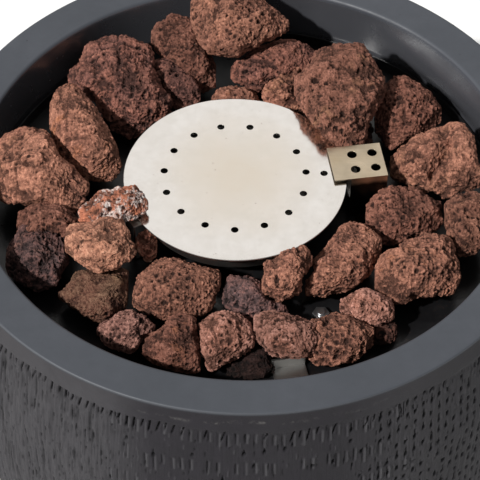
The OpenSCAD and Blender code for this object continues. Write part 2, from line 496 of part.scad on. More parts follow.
// ---------- lava rock ----------
// Each rock is drawn by its outline as seen from the front, 46 degrees above
// the table: u to the right, v up the slanted view, both from the burner's
// centre. Entry: [height of its lowest point above the pan, half its depth
// along the line of sight, how far it lies down, 0 if it may lean over the disc,
// 1 if it stays outside the disc or 2 if it reaches under the disc's edge,
// numbers of the rocks that lie in front of it, outline].
rocks = [
    /* 0 */ [0, 0, 0, 0, [], []],
    /* 1 */ [30, 20, 0.3, 1, [], [[-31,108],[-30,118],[-22,126],[-6,130],[10,125],[20,117],[32,109],[39,103],[37,97],[22,91],[9,84],[0,80],[-15,81],[-24,88],[-29,98]]],
    /* 2 */ [4, 20, 0.3, 1, [1], [[-57,93],[-53,102],[-43,110],[-32,107],[-26,98],[-18,86],[-13,74],[-12,64],[-16,56],[-20,51],[-27,60],[-36,71],[-45,78],[-54,84]]],
    /* 3 */ [0, 26, 0.4, 1, [4], [[-115,66],[-110,73],[-103,78],[-99,90],[-88,95],[-74,95],[-59,90],[-53,75],[-49,61],[-41,52],[-41,43],[-56,33],[-68,21],[-80,27],[-90,46],[-100,55]]],
    /* 4 */ [8, 18, 0.3, 1, [5], [[-110,65],[-120,60],[-125,47],[-125,30],[-120,17],[-110,6],[-98,-4],[-88,-7],[-79,-5],[-74,8],[-80,23],[-90,42],[-95,49],[-102,57]]],
    /* 5 */ [10, 21, 0.5, 1, [28, 26], [[-165,12],[-158,27],[-149,33],[-136,35],[-126,31],[-119,16],[-105,2],[-96,-8],[-103,-22],[-112,-30],[-122,-22],[-140,-20],[-157,-17],[-165,-5]]],
    /* 6 */ [6, 17, 0.4, 1, [2, 3], [[-58,76],[-48,80],[-38,78],[-29,68],[-23,60],[-22,52],[-30,46],[-42,46],[-54,54],[-58,66]]],
    /* 7 */ [0, 16, 0.3, 1, [2, 8], [[-19,48],[-15,55],[-9,59],[-1,60],[8,59],[14,55],[18,48],[10,42],[-8,42]]],
    /* 8 */ [6, 19, 0.4, 1, [1, 9, 10], [[-4,70],[0,77],[10,83],[22,88],[31,91],[41,91],[50,88],[56,80],[50,72],[38,66],[27,60],[15,56],[4,60],[-3,65]]],
    /* 9 */ [4, 14, 0.4, 1, [10], [[17,59],[22,67],[29,73],[38,78],[45,77],[44,70],[40,60],[42,52],[48,43],[50,39],[42,44],[33,46],[23,47],[19,52]]],
    /* 10 */ [16, 28, 0.6, 0, [], [[38,58],[41,68],[49,76],[53,80],[54,86],[62,89],[78,90],[87,89],[93,82],[95,74],[100,66],[102,57],[96,46],[89,35],[86,22],[80,12],[68,12],[55,22],[46,34],[41,48]]],
    /* 11 */ [2, 21, 0.4, 1, [10, 12], [[93,31],[93,39],[96,50],[99,62],[104,67],[110,68],[120,65],[132,57],[139,46],[139,36],[131,30],[122,28],[112,21],[104,17],[99,22]]],
    /* 12 */ [6, 17, 0.4, 1, [13, 14], [[104,12],[107,16],[113,20],[120,28],[130,30],[141,36],[149,30],[146,20],[138,8],[132,-2],[130,-12],[118,-8],[108,-3],[103,3]]],
    /* 13 */ [10, 15, 0.4, 1, [33], [[132,-13],[135,0],[145,16],[149,26],[142,35],[147,38],[153,36],[160,27],[163,12],[167,0],[166,-9],[155,-11],[145,-15],[139,-18]]],
    /* 14 */ [2, 18, 0.5, 1, [15], [[86,-27],[90,-18],[96,-11],[105,-6],[120,-8],[130,-13],[139,-16],[141,-30],[137,-37],[120,-39],[110,-44],[102,-47],[95,-42],[88,-33]]],
    /* 15 */ [0, 23, 0.5, 1, [18], [[93,-72],[95,-62],[97,-53],[108,-47],[118,-41],[129,-37],[144,-39],[149,-52],[153,-71],[147,-80],[133,-81],[120,-81],[112,-89],[104,-84],[95,-80]]],
    /* 16 */ [2, 19, 0.5, 1, [17, 18], [[46,-78],[48,-72],[55,-64],[52,-57],[60,-51],[66,-40],[71,-32],[79,-30],[87,-32],[97,-42],[100,-46],[96,-54],[92,-63],[83,-71],[68,-80],[55,-84],[48,-82]]],
    /* 17 */ [12, 17, 0.4, 1, [], [[18,-57],[23,-52],[31,-49],[40,-45],[47,-47],[53,-54],[49,-64],[44,-68],[44,-78],[34,-84],[27,-85],[19,-78],[17,-69],[20,-64]]],
    /* 18 */ [6, 15, 0.4, 1, [], [[69,-88],[71,-82],[79,-78],[86,-75],[93,-79],[103,-82],[108,-88],[107,-96],[97,-99],[86,-97],[78,-93],[71,-91]]],
    /* 19 */ [2, 17, 0.5, 1, [20], [[50,-96],[62,-93],[70,-91],[77,-93],[86,-97],[95,-102],[94,-112],[87,-119],[79,-124],[66,-127],[54,-129],[47,-122],[45,-112],[46,-102]]],
    /* 20 */ [4, 18, 0.5, 1, [21], [[11,-102],[12,-96],[17,-91],[27,-91],[37,-94],[48,-97],[57,-99],[61,-107],[58,-116],[48,-122],[35,-122],[24,-119],[15,-111]]],
    /* 21 */ [0, 19, 0.5, 1, [], [[-27,-98],[-17,-93],[-10,-91],[-1,-91],[8,-97],[14,-104],[14,-112],[7,-117],[-2,-124],[-8,-130],[-12,-133],[-17,-133],[-20,-128],[-23,-113],[-24,-104]]],
    /* 22 */ [0, 17, 0.5, 1, [21], [[-64,-114],[-61,-109],[-52,-105],[-47,-101],[-44,-95],[-37,-93],[-27,-94],[-24,-105],[-23,-118],[-22,-130],[-28,-132],[-42,-129],[-53,-127],[-63,-120]]],
    /* 23 */ [2, 16, 0.5, 1, [], [[-94,-104],[-88,-98],[-81,-95],[-76,-90],[-70,-90],[-63,-92],[-58,-97],[-52,-102],[-59,-106],[-64,-112],[-68,-118],[-76,-118],[-85,-114],[-91,-109]]],
    /* 24 */ [0, 20, 0.6, 1, [22], [[-70,-81],[-65,-68],[-56,-57],[-47,-54],[-37,-52],[-21,-58],[-12,-59],[-8,-65],[-10,-73],[-15,-87],[-20,-93],[-35,-97],[-53,-95],[-67,-91],[-71,-87]]],
    /* 25 */ [0, 18, 0.6, 1, [27, 26, 23, 24], [[-122,-80],[-112,-74],[-108,-65],[-98,-62],[-84,-64],[-72,-61],[-71,-72],[-73,-88],[-83,-96],[-92,-99],[-102,-93],[-115,-84]]],
    /* 26 */ [0, 20, 0.5, 1, [27], [[-147,-38],[-142,-30],[-133,-27],[-122,-29],[-112,-36],[-109,-46],[-113,-58],[-119,-72],[-127,-76],[-134,-78],[-144,-74],[-152,-66],[-155,-54],[-149,-40]]],
    /* 27 */ [24, 15, 0.5, 0, [], [[-115,-38],[-109,-32],[-97,-30],[-88,-27],[-76,-28],[-71,-38],[-65,-50],[-68,-56],[-82,-63],[-92,-65],[-99,-64],[-103,-59],[-115,-49]]],
    /* 28 */ [30, 13, 0.6, 0, [27], [[-108,-31],[-104,-22],[-97,-13],[-90,-10],[-82,-10],[-75,-7],[-66,-7],[-60,-10],[-57,-16],[-60,-22],[-68,-28],[-75,-32],[-90,-36],[-104,-35]]],
    /* 29 */ [6, 14, 0.4, 2, [24, 28], [[-71,-37],[-64,-35],[-57,-33],[-54,-39],[-52,-47],[-53,-54],[-59,-57],[-64,-51]]],
    /* 30 */ [0, 16, 0.6, 1, [17, 24, 20, 21], [[-10,-75],[-5,-68],[1,-63],[6,-63],[12,-69],[18,-72],[22,-83],[30,-87],[38,-91],[30,-98],[12,-100],[0,-95],[-9,-88]]],
    /* 31 */ [0, 6, 0.3, 1, [21, 20], [[-6,-128],[2,-120],[8,-113],[17,-113],[24,-119],[28,-127],[28,-134],[15,-136],[0,-136],[-10,-135]]],
    /* 32 */ [0, 8, 0.5, 1, [18, 15, 19], [[95,-100],[103,-98],[108,-97],[110,-105],[109,-110],[100,-112],[92,-114],[90,-108]]],
    /* 33 */ [8, 18, 0.5, 1, [15], [[140,-22],[144,-15],[150,-11],[160,-10],[170,-14],[174,-28],[170,-42],[160,-54],[152,-57],[147,-52],[144,-40],[141,-32]]],
    /* 34 */ [2, 22, 0.4, 1, [26, 27, 5], [[-148,-38],[-146,-24],[-136,-18],[-122,-18],[-110,-22],[-104,-32],[-106,-44],[-114,-52],[-128,-54],[-142,-50]]],
    /* 35 */ [0, 11, 0.9, 1, [9, 10, 11, 8, 14], [[50,22],[54,38],[66,48],[82,46],[94,34],[92,20],[80,12],[62,12]]]
];
sight = 1456;
C0 = [bx, by, z_disc];
eye = C0 + sight * [0, -0.6887, 0.725];
function on_view(u, v) = let (a = u - 0.0113 * v, b = v + 0.0113 * u) C0 + [a, 0.725 * b, 0.689 * b];
function mean(P, k) = [for (p = P) p[k]] * [for (p = P) 1 / len(P)];
function area2(P) = [for (i = [0 : len(P) - 1]) let (a = P[i], b = P[(i + 1) % len(P)]) a[0] * b[1] - a[1] * b[0]] * [for (p = P) 1];
function turned(P) = area2(P) < 0 ? [for (i = [len(P) - 1 : -1 : 0]) P[i]] : P;
levels = [-0.93, -0.7, -0.35, 0, 0.35, 0.7, 0.93];
// one point of rock i: level s, outline point p, grown by g
function rock_pt(h, t, lie, c, p, s, k, g) =
    let (q = c + g * k * (p - c), w = on_view(q[0], q[1]) - eye, w0 = on_view(c[0], c[1]) - eye,
         m = (z_disc + h - eye[2]) / w0[2],
         d = (g * s * t + lie * g * k * (p[1] - c[1])) / sight)
    eye + w * (m + d);
function low_z(P) = min([for (p = P) p[2]]);
function rock_points(i, g) = rock_at(i, z_pan + rocks[i][0] - low_z(rock_at(i, 0, 1)), g);
function rock_at(i, h, g) =
    let (r = rocks[i], P = turned(r[5]), c = [mean(P, 0), mean(P, 1)], t = r[1], lie = r[2])
    concat(
        [rock_pt(h, t, lie, c, c, -1, 0, g)],
        [for (j = [0 : len(levels) - 1]) let (s = levels[j], k = pow(1 - pow(abs(s), 2.4), 1 / 2.4))
            for (n = [0 : len(P) - 1])
                rock_pt(h, t, lie, c, P[n], s * (1 - 0.1 * sin(n * 83 + j * 50 + i * 31)), k * (s == 0 ? 1 : 0.95 + 0.05 * sin(n * 97 + j * 61 + i * 47)), g)],
        [rock_pt(h, t, lie, c, c, 1, 0, g)]);
module rock_raw(i, g = 1) {
    n = len(rocks[i][5]); m = len(levels); last = 1 + n * m;
    polyhedron(points = rock_points(i, g), faces = concat(
        [for (k = [0 : n - 1]) [0, 1 + (k + 1) % n, 1 + k]],
        [for (j = [0 : m - 2]) for (k = [0 : n - 1]) each [
            [1 + j * n + k, 1 + j * n + (k + 1) % n, 1 + (j + 1) * n + k],
            [1 + j * n + (k + 1) % n, 1 + (j + 1) * n + (k + 1) % n, 1 + (j + 1) * n + k]]],
        [for (k = [0 : n - 1]) [last, 1 + (m - 1) * n + k, 1 + (m - 1) * n + (k + 1) % n]]), convexity = 4);
}
// the room that the loose rock may fill
module rock_room(outside) {
    difference() {
        rotate_extrude($fn = 72) polygon([[0, z_pan + 0.2], [RI - 6, z_pan + 0.2], [RI - 4.6, z_pan + 10], [RI - 1.2, H], [RI - 1.2, H + 50], [0, H + 50]]);
        translate([bx, by, outside == 2 ? z_disc - 2 : z_pan - 1])
            cylinder(h = outside > 0 ? 120 : z_disc - z_pan + 1.5, r = disc_d / 2 + 0.6, $fn = 72);
        translate([bx, by, z_pan - 1]) cylinder(h = z_disc - z_pan, r = 67.5, $fn = 72);
        at_hood() {
            translate([64.6, -16.2, z_pan - 1]) cube([38, 32.4, z_disc - z_pan + 4]);
            translate([79, -25, z_pan - 1]) cube([20, 50, 4.8]);
            if (outside == 0) translate([58, -17.5, z_disc]) cube([20, 35, 60]);
        }
        for (l = leg_a) translate(B) rotate([0, 0, l[0]]) translate([60, -6.6, z_pan - 1])
            cube([l[1] + 2 - 60, 13.2, z_disc - z_pan]);
        for (a = clip_a) rotate([0, 0, a]) {
            translate([135.4, -11.6, z_pan - 1]) cube([2.7, 23.2, 11.2]);
            translate([135.4, -11.6, z_pan - 1]) cube([32.2, 23.2, 5.4]);
        }
        for (a = post_a) translate(B) rotate([0, 0, a]) translate([post_r, 0, z_pan - 1]) cylinder(h = 6.6, r = 6.4, $fn = 16);
    }
}
module rock(i) {
    difference() {
        intersection() { rock_raw(i, rock_fill); rock_room(rocks[i][3]); }
        for (j = rocks[i][4]) { rock_raw(j); rock_raw(j, rock_fill); }
    }
}
tan = [0.62, 0.4, 0.32]; red = [0.5, 0.27, 0.22]; dark = [0.33, 0.2, 0.18];
module lava_rock_top() { color(tan) rock(1); }
module lava_rock_tall() { color(red) rock(2); }
module lava_rock_dark() { color(dark) rock(3); }
module lava_rock_orange() { color(tan) rock(4); }
module lava_rock_left() { color(tan) rock(5); }
module lava_rock_hood() { color(red) rock(10); }
module lava_rock_right() { color(red) rock(11); }
module lava_rock_smooth() { color(tan) rock(27); }
module lava_rock_speckled() { color(red) rock(28); }
module lava_rock_purple() { color(dark) rock(26); }
module lava_rock_front() { color(red) rock(24); }
module lava_rock_corner() { color(tan) rock(15); }
module lava_rocks_back() { color(dark) for (i = [6, 7, 8, 9, 35]) rock(i); }
module lava_rocks_side() { color(red) for (i = [12, 13, 14, 25, 29, 33, 34]) rock(i); }
module lava_rocks_near() { color(red) for (i = [16 : 23]) rock(i); color(dark) for (i = [30, 31, 32]) rock(i); }

fire_bowl();
base_plate();
base_screws();
rubber_feet();
burner_pan();
pan_clips();
pan_screws();
stud_nuts();
burner_disc();
burner_cup();
burner_legs();
inlet_tube();
burner_locknut();
mixer_tube();
air_shutter();
gas_jet();
jet_holder();
gas_pipe();
pipe_nuts();
pilot_hood();
hood_screws();
pilot_bracket();
electrode_ceramic();
electrode_pin();
thermocouple_tip();
thermocouple_lead();
thermocouple_nut();
ignition_wire();
heat_shield();
shield_posts();
control_panel();
panel_screws();
valve_body();
valve_nut();
valve_stem();
push_collar();
stem_spring();
control_knob();
igniter_body();
igniter_nut();
igniter_button();
igniter_spring();
gas_inlet();
inlet_nut();
inlet_pipe();
lava_rock_top();
lava_rock_tall();
lava_rock_dark();
lava_rock_orange();
lava_rock_left();
lava_rock_hood();
lava_rock_right();
lava_rock_smooth();
lava_rock_speckled();
lava_rock_purple();
lava_rock_front();
lava_rock_corner();
lava_rocks_back();
lava_rocks_side();
lava_rocks_near();
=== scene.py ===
import json
import math
import random

import bmesh
import bpy
import numpy as np
from mathutils import Matrix, Vector


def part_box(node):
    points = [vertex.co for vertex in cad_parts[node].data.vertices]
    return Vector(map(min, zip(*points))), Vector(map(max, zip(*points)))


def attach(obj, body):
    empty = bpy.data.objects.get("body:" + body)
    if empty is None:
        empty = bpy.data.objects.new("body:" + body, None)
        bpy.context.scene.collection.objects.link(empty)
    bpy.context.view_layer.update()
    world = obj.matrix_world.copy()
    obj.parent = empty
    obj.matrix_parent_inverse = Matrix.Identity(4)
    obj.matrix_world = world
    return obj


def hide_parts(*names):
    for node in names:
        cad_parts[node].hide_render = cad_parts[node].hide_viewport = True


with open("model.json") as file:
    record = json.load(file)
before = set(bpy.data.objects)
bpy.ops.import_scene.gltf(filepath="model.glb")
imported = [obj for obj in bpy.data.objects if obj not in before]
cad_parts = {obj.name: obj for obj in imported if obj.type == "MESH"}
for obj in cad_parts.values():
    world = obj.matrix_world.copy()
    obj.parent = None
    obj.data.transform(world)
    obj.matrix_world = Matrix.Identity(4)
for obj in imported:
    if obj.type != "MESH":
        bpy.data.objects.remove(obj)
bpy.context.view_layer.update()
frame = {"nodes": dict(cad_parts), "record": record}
N = frame["nodes"]

MM = 0.001
RIM_R = 0.206          # outer radius of the rim
RIM_IN = 0.179         # inner radius of the rim
TOP = 0.230            # top of the rim
DISC_Z = 0.220         # top of the burner disc
PAN_Z = 0.185          # top of the pan's floor
BX, BY = -0.007, 0.001  # burner's centre
PANEL_Z = 0.095
scene = bpy.context.scene


# ------------------------------------------------------------------ camera
def camera():
    e, roll, dist, f, size = math.radians(46.47), math.radians(0.65), 1.456, 2167.0, 480.0
    u0, v0, c = 235.1, 176.7, 240.0
    centre = Vector((BX, BY, DISC_Z))
    eye = centre + dist * Vector((0, -math.cos(e), math.sin(e)))
    r0 = Matrix(((1, 0, 0), (0, -math.sin(e), -math.cos(e)), (0, math.cos(e), -math.sin(e))))
    rr = Matrix.Rotation(roll, 3, "Z")
    d = Vector(((u0 - c) / f, (v0 - c) / f, 1)).normalized()
    r1 = Vector((0, 0, 1)).rotation_difference(d).to_matrix()
    r = r1 @ rr @ r0
    m = Matrix((r[0], -r[1], -r[2])).transposed().to_4x4()
    m.translation = eye
    cam = bpy.data.objects.new("camera", bpy.data.cameras.new("camera"))
    cam.data.sensor_width = 36.0
    cam.data.lens = f / size * 36.0
    cam.data.clip_start = 0.05
    cam.data.clip_end = 50
    cam.matrix_world = m
    scene.collection.objects.link(cam)
    scene.camera = cam
    return cam


camera()


# ------------------------------------------------------------------ numeric noise
def _hash(ix, iy, iz, seed):
    h = (ix.astype(np.int64) * 374761393 + iy.astype(np.int64) * 668265263
         + iz.astype(np.int64) * 2147483647 + seed * 144665) & 0xFFFFFFFF
    h = ((h ^ (h >> 13)) * 1274126177) & 0xFFFFFFFF
    h = ((h ^ (h >> 16)) * 2246822519) & 0xFFFFFFFF
    h = h ^ (h >> 15)
    return (h & 0xFFFFFF) / float(0x1000000)


def vnoise(p, seed=0):
    """smooth value noise, -1 to 1, of points p (n, 3)"""
    i = np.floor(p)
    f = p - i
    f = f * f * f * (f * (f * 6 - 15) + 10)
    ix, iy, iz = i[:, 0], i[:, 1], i[:, 2]
    out = np.zeros(len(p))
    for dx in (0, 1):
        wx = f[:, 0] if dx else 1 - f[:, 0]
        for dy in (0, 1):
            wy = f[:, 1] if dy else 1 - f[:, 1]
            for dz in (0, 1):
                wz = f[:, 2] if dz else 1 - f[:, 2]
                out += wx * wy * wz * _hash(ix + dx, iy + dy, iz + dz, seed)
    return out * 2 - 1


def fbm(p, seed=0, octaves=3, gain=0.5):
    out, a, s = np.zeros(len(p)), 1.0, 1.0
    for k in range(octaves):
        out += a * vnoise(p * s + 17.3 * k, seed + k)
        a *= gain
        s *= 2.03
    return out


def cells(p, seed=0, rmin=0.15, rmax=0.45, keep=1.0):
    """round pits on a jittered lattice: 0 outside, up to 1 in the middle of a pit"""
    i = np.floor(p)
    best = np.zeros(len(p))
    for dx in (-1, 0, 1):
        for dy in (-1, 0, 1):
            for dz in (-1, 0, 1):
                a, b, c = i[:, 0] + dx, i[:, 1] + dy, i[:, 2] + dz
                q = np.stack([a + 0.15 + 0.7 * _hash(a, b, c, seed + 1),
                              b + 0.15 + 0.7 * _hash(a, b, c, seed + 2),
                              c + 0.15 + 0.7 * _hash(a, b, c, seed + 3)], 1)
                h = _hash(a, b, c, seed + 4)
                r = rmin + (rmax - rmin) * _hash(a, b, c, seed + 5) ** 2
                d2 = ((p - q) ** 2).sum(1) / (r * r)
                v = np.sqrt(np.clip(1 - d2, 0, 1)) * (r / rmax)
                best = np.maximum(best, np.where(h < keep, v, 0))
    return best


# ------------------------------------------------------------------ mesh helpers
def link(obj):
    scene.collection.objects.link(obj)
    return obj


def mesh_object(name, verts, faces, smooth=True):
    me = bpy.data.meshes.new(name)
    me.from_pydata([tuple(v) for v in verts], [], faces)
    me.validate()
    me.update()
    if smooth:
        me.polygons.foreach_set("use_smooth", np.ones(len(me.polygons), bool))
    return link(bpy.data.objects.new(name, me))


def coords(me):
    co = np.empty(len(me.vertices) * 3)
    me.vertices.foreach_get("co", co)
    return co.reshape(-1, 3)


def normals(me):
    no = np.empty(len(me.vertices) * 3)
    me.vertices.foreach_get("normal", no)
    return no.reshape(-1, 3)


def set_coords(me, co):
    me.vertices.foreach_set("co", np.ascontiguousarray(co, np.float32).ravel())
    me.update()


def attribute(me, name, values):
    a = me.attributes.get(name) or me.attributes.new(name, "FLOAT", "POINT")
    a.data.foreach_set("value", np.asarray(values, np.float32))


def apply_modifiers(obj):
    dg = bpy.context.evaluated_depsgraph_get()
    me = bpy.data.meshes.new_from_object(obj.evaluated_get(dg))
    obj.modifiers.clear()
    old = obj.data
    obj.data = me
    bpy.data.meshes.remove(old)
    return obj


def welded_parts(node):
    """the separate solids of a CAD node, each as (verts, faces)"""
    bm = bmesh.new()
    bm.from_mesh(N[node].data)
    bmesh.ops.remove_doubles(bm, verts=bm.verts, dist=2e-6)
    bm.verts.ensure_lookup_table()
    seen, parts = set(), []
    for v in bm.verts:
        if v.index in seen:
            continue
        stack, group = [v], []
        seen.add(v.index)
        while stack:
            w = stack.pop()
            group.append(w)
            for e in w.link_edges:
                o = e.other_vert(w)
                if o.index not in seen:
                    seen.add(o.index)
                    stack.append(o)
        ids = {w.index: k for k, w in enumerate(group)}
        faces = {f for w in group for f in w.link_faces}
        parts.append(([tuple(w.co) for w in group],
                      [tuple(ids[w.index] for w in f.verts) for f in sorted(faces, key=lambda f: f.index)]))
    bm.free()
    return [p for p in parts if np.ptp(np.array(p[0]), axis=0).min() > 0.008]


# ------------------------------------------------------------------ node helpers
class Mat:
    def __init__(self, name):
        self.m = bpy.data.materials.new(name)
        self.m.use_nodes = True
        self.t = self.m.node_tree
        self.b = self.t.nodes["Principled BSDF"]
        self.coord = self.t.nodes.new("ShaderNodeTexCoord")

    def set(self, **kw):
        for k, v in kw.items():
            self.b.inputs[k.replace("_", " ")].default_value = v
        return self

    def link(self, a, b):
        self.t.links.new(a, b)

    def node(self, kind, **kw):
        n = self.t.nodes.new(kind)
        for k, v in kw.items():
            setattr(n, k, v)
        return n

    def noise(self, scale, detail=4, rough=0.55, stretch=None, dist=0.0):
        n = self.node("ShaderNodeTexNoise")
        n.inputs["Scale"].default_value = scale
        n.inputs["Detail"].default_value = detail
        n.inputs["Roughness"].default_value = rough
        n.inputs["Distortion"].default_value = dist
        if stretch:
            mp = self.node("ShaderNodeMapping")
            mp.inputs["Scale"].default_value = stretch
            self.link(self.coord.outputs["Object"], mp.inputs["Vector"])
            self.link(mp.outputs["Vector"], n.inputs["Vector"])
        else:
            self.link(self.coord.outputs["Object"], n.inputs["Vector"])
        return n.outputs["Fac"]

    def voronoi(self, scale, feature="F1", out="Distance", rand=1.0):
        n = self.node("ShaderNodeTexVoronoi", feature=feature)
        n.inputs["Scale"].default_value = scale
        n.inputs["Randomness"].default_value = rand
        self.link(self.coord.outputs["Object"], n.inputs["Vector"])
        return n.outputs[out]

    def ramp(self, fac, stops, interp="LINEAR"):
        n = self.node("ShaderNodeValToRGB")
        n.color_ramp.interpolation = interp
        e = n.color_ramp.elements
        while len(e) < len(stops):
            e.new(0.5)
        for k, (pos, col) in enumerate(stops):
            e[k].position = pos
            c = col if isinstance(col, (tuple, list)) else (col, col, col)
            e[k].color = (*c[:3], 1)
        self.link(fac, n.inputs["Fac"])
        return n.outputs["Color"]

    def remap(self, fac, a, b, c=0.0, d=1.0):
        n = self.node("ShaderNodeMapRange")
        for k, v in zip(("From Min", "From Max", "To Min", "To Max"), (a, b, c, d)):
            n.inputs[k].default_value = v
        self.link(fac, n.inputs["Value"])
        return n.outputs["Result"]

    def mix(self, fac, a, b, blend="MIX"):
        n = self.node("ShaderNodeMix", data_type="RGBA", blend_type=blend)
        for sock, v in ((n.inputs[0], fac), (n.inputs[6], a), (n.inputs[7], b)):
            if isinstance(v, bpy.types.NodeSocket):
                self.link(v, sock)
            elif isinstance(v, (tuple, list)):
                sock.default_value = (*v[:3], 1)
            else:
                sock.default_value = v
        return n.outputs[2]

    def math(self, op, a, b=0.0, clamp=False):
        n = self.node("ShaderNodeMath", operation=op, use_clamp=clamp)
        for sock, v in ((n.inputs[0], a), (n.inputs[1], b)):
            if isinstance(v, bpy.types.NodeSocket):
                self.link(v, sock)
            else:
                sock.default_value = v
        return n.outputs[0]

    def attr(self, name):
        return self.node("ShaderNodeAttribute", attribute_name=name).outputs["Fac"]

    def color(self, v):
        self.link(v, self.b.inputs["Base Color"])
        return self

    def rough(self, v):
        self.link(v, self.b.inputs["Roughness"])
        return self

    def metal(self, v):
        self.link(v, self.b.inputs["Metallic"])
        return self

    def bump(self, height, strength=0.5, dist=0.0005):
        n = self.node("ShaderNodeBump")
        n.inputs["Strength"].default_value = strength
        n.inputs["Distance"].default_value = dist
        self.link(height, n.inputs["Height"])
        self.link(n.outputs["Normal"], self.b.inputs["Normal"])
        return self


def assign(obj, mat):
    m = mat.m if isinstance(mat, Mat) else mat
    if obj.data.materials:
        for k in range(len(obj.data.materials)):
            obj.data.materials[k] = m
    else:
        obj.data.materials.append(m)


# ------------------------------------------------------------------ materials
def concrete_mat(part):
    """part: rim, wall or inner; the colours meet where the parts do"""
    m = Mat("cast_concrete_" + part)
    big = m.noise(14, 4, 0.6)
    mid = m.noise(90, 5, 0.6)
    fine = m.noise(900, 3, 0.6)
    base = m.ramp(big, [(0.3, (0.054, 0.060, 0.072)), (0.7, (0.065, 0.071, 0.085))])
    base = m.mix(m.remap(mid, 0.35, 0.7, 0.0, 0.35), base, (0.050, 0.055, 0.065))
    # the wall is browner than the rim, and painted darker: painted shade for the less light its upright faces get
    wall = m.attr("wall")
    body = m.ramp(mid, [(0.3, (0.0150, 0.0138, 0.0168)), (0.72, (0.0222, 0.0205, 0.0250))])
    # the left and right of the wall are painted paler than the front: painted light where the lamps reach those sides
    sunlit_wall = m.ramp(mid, [(0.3, (0.036, 0.0345, 0.0385)), (0.72, (0.051, 0.0495, 0.054))])
    body = m.mix(m.attr("lit_sides"), body, sunlit_wall)
    body = m.mix(m.remap(big, 0.4, 0.75, 0.0, 0.4), body, (0.032, 0.031, 0.034))
    # raised bars and ticks are painted lighter: painted highlight on their raised faces
    body = m.mix(m.math("MULTIPLY", m.attr("bar_highlight"), 0.8, True), body, (0.064, 0.063, 0.068))
    col = m.mix(wall, base, body)
    # painted shade in the deep dents
    col = m.mix(m.math("MULTIPLY", m.attr("dent_shade"), 0.95, True), col, (0.003, 0.003, 0.004))
    # the rim's outer edge is painted darker: painted shade on its rounding
    edge_shade = m.math("MULTIPLY", m.attr("edge_shade"), m.remap(mid, 0.3, 0.6, 0.8, 1.0), True)
    col = m.mix(edge_shade, col, (0.036, 0.038, 0.043))
    scuff = m.math("MULTIPLY", m.attr("scuff"), m.remap(m.noise(150, 4, 0.7), 0.50, 0.62), True)
    col = m.mix(m.math("MULTIPLY", scuff, 0.6), col, (0.13, 0.125, 0.12))
    # glazed inside
    inner = m.attr("inner")
    col = m.mix(inner, col, m.mix(m.remap(big, 0.3, 0.7), (0.043, 0.044, 0.051), (0.056, 0.058, 0.066)))
    # small air holes of the casting, painted dark as painted shade inside them
    v = m.voronoi(150)
    hole = m.math("MULTIPLY", m.remap(v, 0.10, 0.05), m.remap(m.noise(40, 2), 0.55, 0.62), True)
    col = m.mix(m.math("MULTIPLY", hole, 0.8), col, (0.015, 0.015, 0.017))
    m.color(col)
    if part == "wall":
        m.rough(m.remap(mid, 0.3, 0.7, 0.66, 0.80))
        m.set(Specular_IOR_Level=0.18)
    elif part == "rim":
        m.rough(m.remap(mid, 0.3, 0.7, 0.46, 0.58))
        m.set(Specular_IOR_Level=0.40)
    else:
        m.rough(m.remap(mid, 0.3, 0.7, 0.20, 0.29))
        m.set(Specular_IOR_Level=0.85, IOR=1.85)
    h = m.math("ADD", m.math("MULTIPLY", fine, 0.5), m.math("MULTIPLY", mid, 0.9))
    h = m.math("SUBTRACT", h, m.math("MULTIPLY", hole, 1.5))
    if part == "wall":
        # combed lines that run up the wall
        mp = m.node("ShaderNodeMapping")
        mp.inputs["Scale"].default_value = (620, 42, 1)
        m.link(m.node("ShaderNodeAttribute", attribute_name="wrap").outputs["Vector"], mp.inputs["Vector"])
        n = m.node("ShaderNodeTexNoise")
        n.inputs["Scale"].default_value = 1.0
        n.inputs["Detail"].default_value = 3
        n.inputs["Roughness"].default_value = 0.6
        m.link(mp.outputs["Vector"], n.inputs["Vector"])
        h = m.math("ADD", h, m.math("MULTIPLY", m.math("MULTIPLY", n.outputs["Fac"], m.attr("comb")), 2.6))
        m.bump(h, 0.6, 0.0005)
    else:
        m.bump(h, 0.35, 0.0004)
    return m


def steel_disc_mat():
    m = Mat("heat_tinted_stainless")
    m.set(Metallic=1.0)
    # distance from the burner's centre
    mp = m.node("ShaderNodeMapping")
    mp.inputs["Location"].default_value = (-BX, -BY, 0)
    mp.inputs["Scale"].default_value = (1, 1, 0)
    m.link(m.coord.outputs["Object"], mp.inputs["Vector"])
    ln = m.node("ShaderNodeVectorMath", operation="LENGTH")
    m.link(mp.outputs["Vector"], ln.inputs[0])
    wav = m.noise(28, 4, 0.6)
    d = m.math("ADD", ln.outputs["Value"], m.math("MULTIPLY", m.math("SUBTRACT", wav, 0.5), 0.045))
    tint = m.remap(d, 0.012, 0.062, 1.0, 0.0)
    clouds = m.noise(70, 5, 0.65)
    base = m.mix(m.remap(clouds, 0.35, 0.7, 0.0, 1.0), (0.80, 0.77, 0.74), (0.73, 0.695, 0.655))
    warm = m.mix(m.remap(clouds, 0.3, 0.7), (0.66, 0.56, 0.44), (0.73, 0.65, 0.54))
    col = m.mix(m.math("MULTIPLY", tint, 0.62, True), base, warm)
    # rust specks and dark grains
    v = m.voronoi(210)
    speck = m.math("MULTIPLY", m.remap(v, 0.085, 0.04), m.remap(m.noise(60, 2), 0.5, 0.6), True)
    col = m.mix(m.math("MULTIPLY", speck, 0.75), col, (0.16, 0.07, 0.04))
    v2 = m.voronoi(520)
    grain = m.math("MULTIPLY", m.remap(v2, 0.13, 0.05), m.remap(m.noise(160, 2), 0.48, 0.62), True)
    col = m.mix(m.math("MULTIPLY", grain, 0.35), col, (0.30, 0.25, 0.20))
    m.color(col)
    r = m.remap(clouds, 0.3, 0.7, 0.10, 0.17)
    r = m.math("ADD", r, m.math("MULTIPLY", speck, 0.4), True)
    m.rough(r)
    h = m.math("ADD", m.math("MULTIPLY", m.noise(22, 2), 1.0), m.math("MULTIPLY", m.noise(1500, 2, stretch=(1, 0.12, 1)), 0.02))
    m.bump(h, 0.25, 0.0006)
    return m


